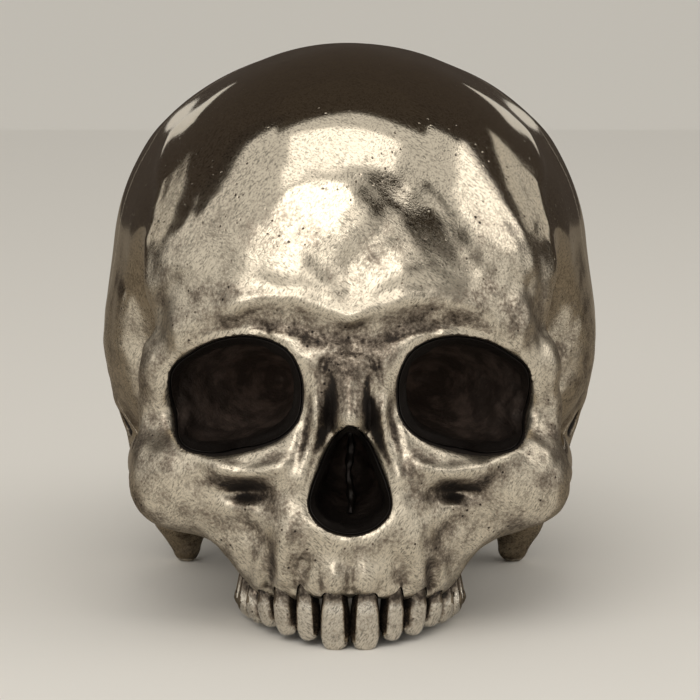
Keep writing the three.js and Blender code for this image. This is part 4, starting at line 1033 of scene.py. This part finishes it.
# deep runs from the painted shade at each lining's mouth to the painted sheen further in.
for name, deep_from, deep_to in (("left_orbit_cup", -76, -50), ("right_orbit_cup", -76, -50),
                                 ("nasal_cup", -84, -58)):
    shade(pieces[name])
    store(pieces[name], deep=smooth(deep_from, deep_to, points_of(pieces[name])[1]))


def srgb(code):
    """Linear colour of an sRGB hex value: v / 12.92 below 0.04045, else ((v + 0.055) / 1.055) ^ 2.4."""
    values = [int(code[n:n + 2], 16) / 255 for n in (1, 3, 5)]
    return (*[v / 12.92 if v <= 0.04045 else ((v + 0.055) / 1.055) ** 2.4 for v in values], 1)


def add(tree, kind, inputs=(), output=0, stops=(), **settings):
    """Adds a node with its settings and the colour stops of its ramp. Its inputs are given by name or in the node's
    order, each as a value or as a socket to link from. Gives one of its outputs, or the node where that is None."""
    made = tree.nodes.new("ShaderNode" + kind)
    for key, value in settings.items():
        setattr(made, key, value)
    for key, value in inputs.items() if isinstance(inputs, dict) else enumerate(inputs):
        if isinstance(value, bpy.types.NodeSocket):
            tree.links.new(value, made.inputs[key])
        else:
            made.inputs[key].default_value = value
    if stops:
        elements = made.color_ramp.elements
        elements[0].position, elements[-1].position = stops[0][0], stops[-1][0]
        for place, _ in stops[1:-1]:
            elements.new(place)
        for element, (_, code) in zip(elements, stops):
            element.color = srgb(code)
    return made if output is None else made.outputs[output]


def new_material(name):
    """An empty node material and its tree."""
    made = bpy.data.materials.new(name)
    made.use_nodes = True
    made.node_tree.nodes.clear()
    return made, made.node_tree


def per_mm(size):
    """Scale of a pattern on Object coordinates, in metres, whose features are a size in millimetres."""
    return 1 / (size * MM)


# Rubbing strokes run both ways over the surface, 0.4 mm wide and about 1.3 mm long, and show as fine dark fibres.
STROKE_MM = 0.4
STROKE_STRETCH = (1, 1.4, 3.2)
STROKE_TURNS = ((0.2, 0.55, 0.2), (-0.3, -0.95, 0.4))


def finished(material, colour, metallic, roughness, height, height_mm):
    """Ends a metal's tree: its colour, gloss, and a bump whose height of 1 stands for a size in mm."""
    tree = material.node_tree
    normal = add(tree, "Bump", {"Height": height, "Distance": height_mm * MM, "Strength": 1})
    shader = add(tree, "BsdfPrincipled", {"Base Color": colour, "Metallic": metallic, "Roughness": roughness,
                                          "Normal": normal})
    add(tree, "OutputMaterial", {"Surface": shader}, None)
    return material


def antique_nickel(name, bright, patina_and_shade_colour, gloss):
    """Antique nickel plate on cast aluminium. It was darkened, then rubbed back: raised places shine through in warm
    silver, and brown-black patina stays in the hollows, in the pits and between the fine rubbing strokes. The same
    colours also carry painted shade deep in the holes, in grooves, on the nose bridge and behind the teeth, painted
    light on the jaw, and painted highlights on the rims and ridges."""
    material, tree = new_material(name)
    place = add(tree, "TexCoord", output="Object")
    hollow_patina_and_shade, edge_wear_and_highlight, sunk, polish = (
        add(tree, "Attribute", output="Fac", attribute_name=field) for field in ("hollow", "edge", "sunk", "polish"))
    # Patterns in mm: where the strokes turn, the casting's grain, slow clouds, shallow dents, and mottled patina.
    swirl, grain, cloud, dents, mottle = (
        add(tree, "TexNoise", {"Vector": place, "Scale": per_mm(size), "Detail": detail, "Roughness": roughness,
                               "Distortion": distortion})
        for size, detail, roughness, distortion in (
            (11, 1, 0.5, 0), (0.9, 3, 0.7, 0), (9, 5, 0.62, 0), (4.5, 2, 0.5, 0), (3.2, 5, 0.7, 0.7)))
    stroke_a, stroke_b = (
        add(tree, "TexNoise", {
            "Vector": add(tree, "Mapping", {"Vector": place, "Rotation": turn, "Scale": STROKE_STRETCH},
                          vector_type="TEXTURE"),
            "Scale": per_mm(STROKE_MM), "Detail": 1, "Distortion": 0.8})
        for turn in STROKE_TURNS)
    strokes = add(tree, "MapRange", (add(tree, "Mix", {
        "Factor": add(tree, "MapRange", (swirl, 0.45, 0.55)), "A": stroke_a, "B": stroke_b}, "Result",
        data_type="FLOAT"), 0.3, 0.54))
    pits = add(tree, "TexVoronoi", {"Vector": place, "Scale": per_mm(2.6), "Randomness": 1})
    pits = add(tree, "MapRange", (pits, 0.07, 0.16, 1, 0))
    for span in ((cloud, 0.47, 0.58), (polish, 0.55, 0.85, 1, 0)):
        pits = add(tree, "Math", (pits, add(tree, "MapRange", span)), operation="MULTIPLY")
    # The dome is calmer than the face, and its small unevenness is polished away.
    calm = add(tree, "MapRange", (polish, 0.6, 1, 1, 0.15))
    matte = add(tree, "MapRange", (polish, 0, 0.3, 1, 0.06))
    cloud_off, grain_off, stroke_off = (add(tree, "Math", (value, 0.5), operation="SUBTRACT")
                                        for value in (cloud, grain, strokes))

    # Patina in hollows and pits, and painted shade in deep places, in grooves and behind the teeth, broken up by the
    # strokes, the grain and slow clouds.
    dark = add(tree, "Math", (stroke_off, 0.2, grain_off), operation="MULTIPLY_ADD")
    dark = add(tree, "Math", (dark, calm), operation="MULTIPLY")
    for value, weight in (
            (cloud_off, add(tree, "MapRange", (polish, 0.02, 0.3, 1.7, 0.3))),
            (hollow_patina_and_shade, add(tree, "MapRange", (mottle, 0.35, 0.65, 0.45, 1.05))),
            # sunk paints shade deep under the skin, in the holes and inside the skull.
            (add(tree, "MapRange", (sunk, 0.7, 2.2, 0, 1.6)), 1), (edge_wear_and_highlight, -0.6), (polish, -0.3), (pits, 0.7)):
        dark = add(tree, "Math", (value, weight, dark), operation="MULTIPLY_ADD")
    patina_and_shade_part = add(tree, "MapRange", (dark, -0.02, 1))
    colour = add(tree, "ValToRGB", {"Fac": patina_and_shade_part},
                 stops=((0, bright), (0.32, "#8e8376"), (0.66, "#463d35"), (1, patina_and_shade_colour)))
    fibred = add(tree, "Mix", {"Factor": 1, "A": colour, "B": strokes}, "Result", data_type="RGBA",
                 blend_type="MULTIPLY")
    colour = add(tree, "Mix", {"Factor": add(tree, "Math", (calm, 0.62), operation="MULTIPLY"), "A": colour,
                               "B": fibred}, "Result", data_type="RGBA")

    rough = gloss
    for value, weight in ((patina_and_shade_part, 0.3), (add(tree, "MapRange", (polish, 0, 0.26, 0, 0.23)), -1),
                          (add(tree, "MapRange", (polish, 0.35, 1, 0, 0.06)), -1), (grain_off, 0.22)):
        rough = add(tree, "Math", (value, weight, rough), operation="MULTIPLY_ADD")
    rough = add(tree, "Clamp", (rough, 0.06, 0.8))

    # Height of the surface in mm: strokes, grain, dents and pits.
    height = add(tree, "Math", (matte, 0.012, 0.004), operation="MULTIPLY_ADD")
    for part in (strokes, calm):
        height = add(tree, "Math", (height, part), operation="MULTIPLY")
    for value, most in ((grain, 0.06), (dents, 0.14)):
        value = add(tree, "Math", (value, matte), operation="MULTIPLY")
        height = add(tree, "Math", (value, most, height), operation="MULTIPLY_ADD")
    height = add(tree, "Math", (pits, -0.12, height), operation="MULTIPLY_ADD")
    metallic = add(tree, "MapRange", (patina_and_shade_part, 0.4, 1, 1, 0.55))
    return finished(material, colour, metallic, rough, height, 1)


def painted_shade_metal():
    """Nearly black satin metal for the linings of the eye sockets and the nose and for the septum. Its near-black is
    painted shade for the deep holes, and deeper in the linings it turns to a warm painted sheen for reflections.
    """
    material, tree = new_material("dark metal with painted shade")
    place = add(tree, "TexCoord", output="Object")
    cloud = add(tree, "TexNoise", {"Vector": place, "Scale": per_mm(7), "Detail": 4, "Roughness": 0.65})
    grain = add(tree, "TexNoise", {"Vector": place, "Scale": per_mm(0.9), "Detail": 3})
    painted_sheen = add(tree, "ValToRGB", {"Fac": cloud}, stops=((0.45, "#5c5049"), (0.72, "#9a867b")))
    deep = add(tree, "Attribute", output="Fac", attribute_name="deep")
    # Painted shade where deep is 0, painted sheen where it is 1.
    colour = add(tree, "Mix", {"Factor": deep, "A": srgb("#1d1815"), "B": painted_sheen}, "Result", data_type="RGBA")
    height = add(tree, "Math", (cloud, 6, grain), operation="MULTIPLY_ADD")
    return finished(material, colour, 0.6, 0.5, height, 0.1)


def machined_steel():
    """Machined steel screws and pins: grey and even, with turning marks too fine to see, so a fine grain."""
    material, tree = new_material("machined steel")
    place = add(tree, "TexCoord", output="Object")
    grain = add(tree, "TexNoise", {"Vector": place, "Scale": per_mm(0.8), "Detail": 2})
    colour = add(tree, "ValToRGB", {"Fac": grain}, stops=((0, "#4d4e50"), (1, "#8a8b8c")))
    return finished(material, colour, 1, 0.35, grain, 0.03)


slots = {
    "cast_metal": antique_nickel("antique nickel on cast aluminium", "#d6ccba", "#241e1a", 0.34),
    "tooth_metal": antique_nickel("polished antique nickel", "#d9d1c3", "#171310", 0.26),
    "dark_metal": painted_shade_metal(),
    "screw_steel": machined_steel(),
}
slot_of = {row["node"]: row["material_slot"] for row in frame["record"]["subparts"]}
for node, made in pieces.items():
    made.data.materials.clear()
    made.data.materials.append(slots[slot_of[node]])
    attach(made, "root")
    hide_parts(node)
for node, shown in frame["nodes"].items():
    if node not in pieces:
        shown.data.materials.clear()
        shown.data.materials.append(slots[slot_of[node]])


# The camera looks a little down on the face, from 0.8 m in front of a point between the eyes and the nose.
VIEW_POINT = np.array([0, -78.0, 28.0])
VIEW_DISTANCE = 800.0
VIEW_RISE = math.radians(3)
FOCAL_PIXELS = 3000.0
IMAGE_PIXELS = 700.0
eye = stood(VIEW_POINT + VIEW_DISTANCE * np.array([0, -math.cos(VIEW_RISE), math.sin(VIEW_RISE)]))
target = stood(VIEW_POINT)
camera = bpy.data.objects.new("camera", bpy.data.cameras.new("camera"))
bpy.context.scene.collection.objects.link(camera)
camera.location = Vector(eye)
camera.rotation_euler = Vector(target - eye).to_track_quat("-Z", "Y").to_euler()
camera.data.sensor_width = 36.0
camera.data.lens = camera.data.sensor_width * FOCAL_PIXELS / IMAGE_PIXELS
bpy.context.scene.camera = camera


STUDIO_MIDDLE = np.array([0, -0.02, 0.09])


def toward(azimuth, elevation, distance):
    """A place of the studio: its direction from the skull in degrees, counted from the front towards +x and up."""
    azimuth, elevation = np.radians(azimuth), np.radians(elevation)
    way = np.stack([np.cos(elevation) * np.sin(azimuth), -np.cos(elevation) * np.cos(azimuth),
                    np.sin(elevation) + 0 * azimuth], -1)
    return STUDIO_MIDDLE + distance * way


def board(name, points, faces, kind, finish):
    """A piece of the studio, with a shader of one kind and its finish."""
    mesh = bpy.data.meshes.new(name)
    mesh.from_pydata(points, [], faces)
    material, tree = new_material(name)
    add(tree, "OutputMaterial", {"Surface": add(tree, kind, finish)}, None)
    mesh.materials.append(material)
    made = piece_of(name, mesh)
    return made


def reflected_only(name, points, faces, colour):
    """A plain part of the studio that only reflections see."""
    made = board(name, points, faces, "BsdfDiffuse", {"Color": srgb(colour)})
    made.visible_camera = False
    made.visible_diffuse = False
    made.visible_shadow = False


def level(low, high, height):
    """Corners and faces of a level rectangle between two corners."""
    return ([(low[0], low[1], height), (high[0], low[1], height), (high[0], high[1], height),
             (low[0], high[1], height)], [(0, 1, 2, 3)])


def screen(azimuths, elevations, distance, columns=24, rows=12):
    """Points and faces of a curved screen: part of a sphere round the skull between azimuths and elevations."""
    azimuth, elevation = np.meshgrid(np.linspace(*azimuths, columns + 1), np.linspace(*elevations, rows + 1),
                                     indexing="ij")
    i, j = np.meshgrid(np.arange(columns) * (rows + 1), np.arange(rows), indexing="ij")
    corner = (i + j).ravel()
    faces = np.stack([corner, corner + rows + 1, corner + rows + 2, corner + 1], 1)
    return toward(azimuth, elevation, distance).reshape(-1, 3).tolist(), faces.tolist()


# The studio. Lamps have an azimuth and an elevation, a width and height in metres, and watts. Screens have two
# azimuths, two elevations, a distance and a colour: dark ones for the metal to reflect, and bright strips.
LAMP_DISTANCE = 1.2
LAMPS = [("key lamp", -17, 33, 0.7, 0.62, 2.7), ("top lamp", -8, 66, 1.2, 0.55, 2.4),
         ("right lamp", 88, 32, 0.7, 0.5, 1.2)]
SCREENS = [
    ("window screen", (13, 54), (20, 46), 1.1, "#3f3830"), ("rear screen", (112, 248), (-6, 60), 1.5, "#524b46"),
    ("crown screen", (88, 272), (58, 90), 1.4, "#544d47"), ("left screen", (-112, -98), (30, 62), 1.3, "#4a4440"),
    ("right screen", (104, 112), (-6, 62), 1.3, "#4a4440"), ("left strip", (-135, -121), (8, 20), 1.2, "#f4f2ee"),
    ("right strip", (120, 138), (15, 27), 1.2, "#f4f2ee"),
    ("left rear strip", (-167, -157), (6, 13), 1.2, "#f4f2ee"),
    ("right rear strip", (157, 167), (6, 13), 1.2, "#f4f2ee"),
]


def studio():
    """A pale floor and a pale world, soft lamps in front and above, and dark screens behind the skull and a dark
    card on the floor for its metal to reflect."""
    board("floor", *level((-6, -6), (6, 6), 0), "BsdfPrincipled",
          {"Base Color": srgb("#e6e4e0"), "Roughness": 0.9})

    world = bpy.data.worlds.new("studio")
    bpy.context.scene.world = world
    world.use_nodes = True
    tree = world.node_tree
    tree.nodes.clear()
    path = add(tree, "LightPath", output=None)
    seen = path.outputs["Is Camera Ray"]
    for ray in ("Is Glossy Ray", "Is Transmission Ray"):
        seen = add(tree, "Math", (seen, path.outputs[ray]), operation="MAXIMUM")
    light = add(tree, "Background", {"Color": srgb("#e6e2da"), "Strength": 0.8})
    shown = add(tree, "Background", {"Color": srgb("#e8e4dc"), "Strength": 1})
    add(tree, "OutputWorld", {"Surface": add(tree, "MixShader", (seen, light, shown))}, None)

    for name, azimuth, elevation, width, height, power in LAMPS:
        lamp = bpy.data.lights.new(name, "AREA")
        lamp.shape = "RECTANGLE"
        lamp.size, lamp.size_y = width, height
        lamp.energy = power
        lamp.color = srgb("#fffaf3")[:3]
        made = piece_of(name, lamp)
        made.location = Vector(toward(azimuth, elevation, LAMP_DISTANCE))
        made.rotation_euler = (Vector(STUDIO_MIDDLE) - made.location).to_track_quat("-Z", "Y").to_euler()
    reflected_only("floor card", *level((-1.4, -0.06), (1.4, 1.5), 0.001), "#8b8276")
    for name, azimuths, elevations, distance, colour in SCREENS:
        reflected_only(name, *screen(azimuths, elevations, distance), colour)


studio()
bpy.context.scene.view_settings.view_transform = "Standard"
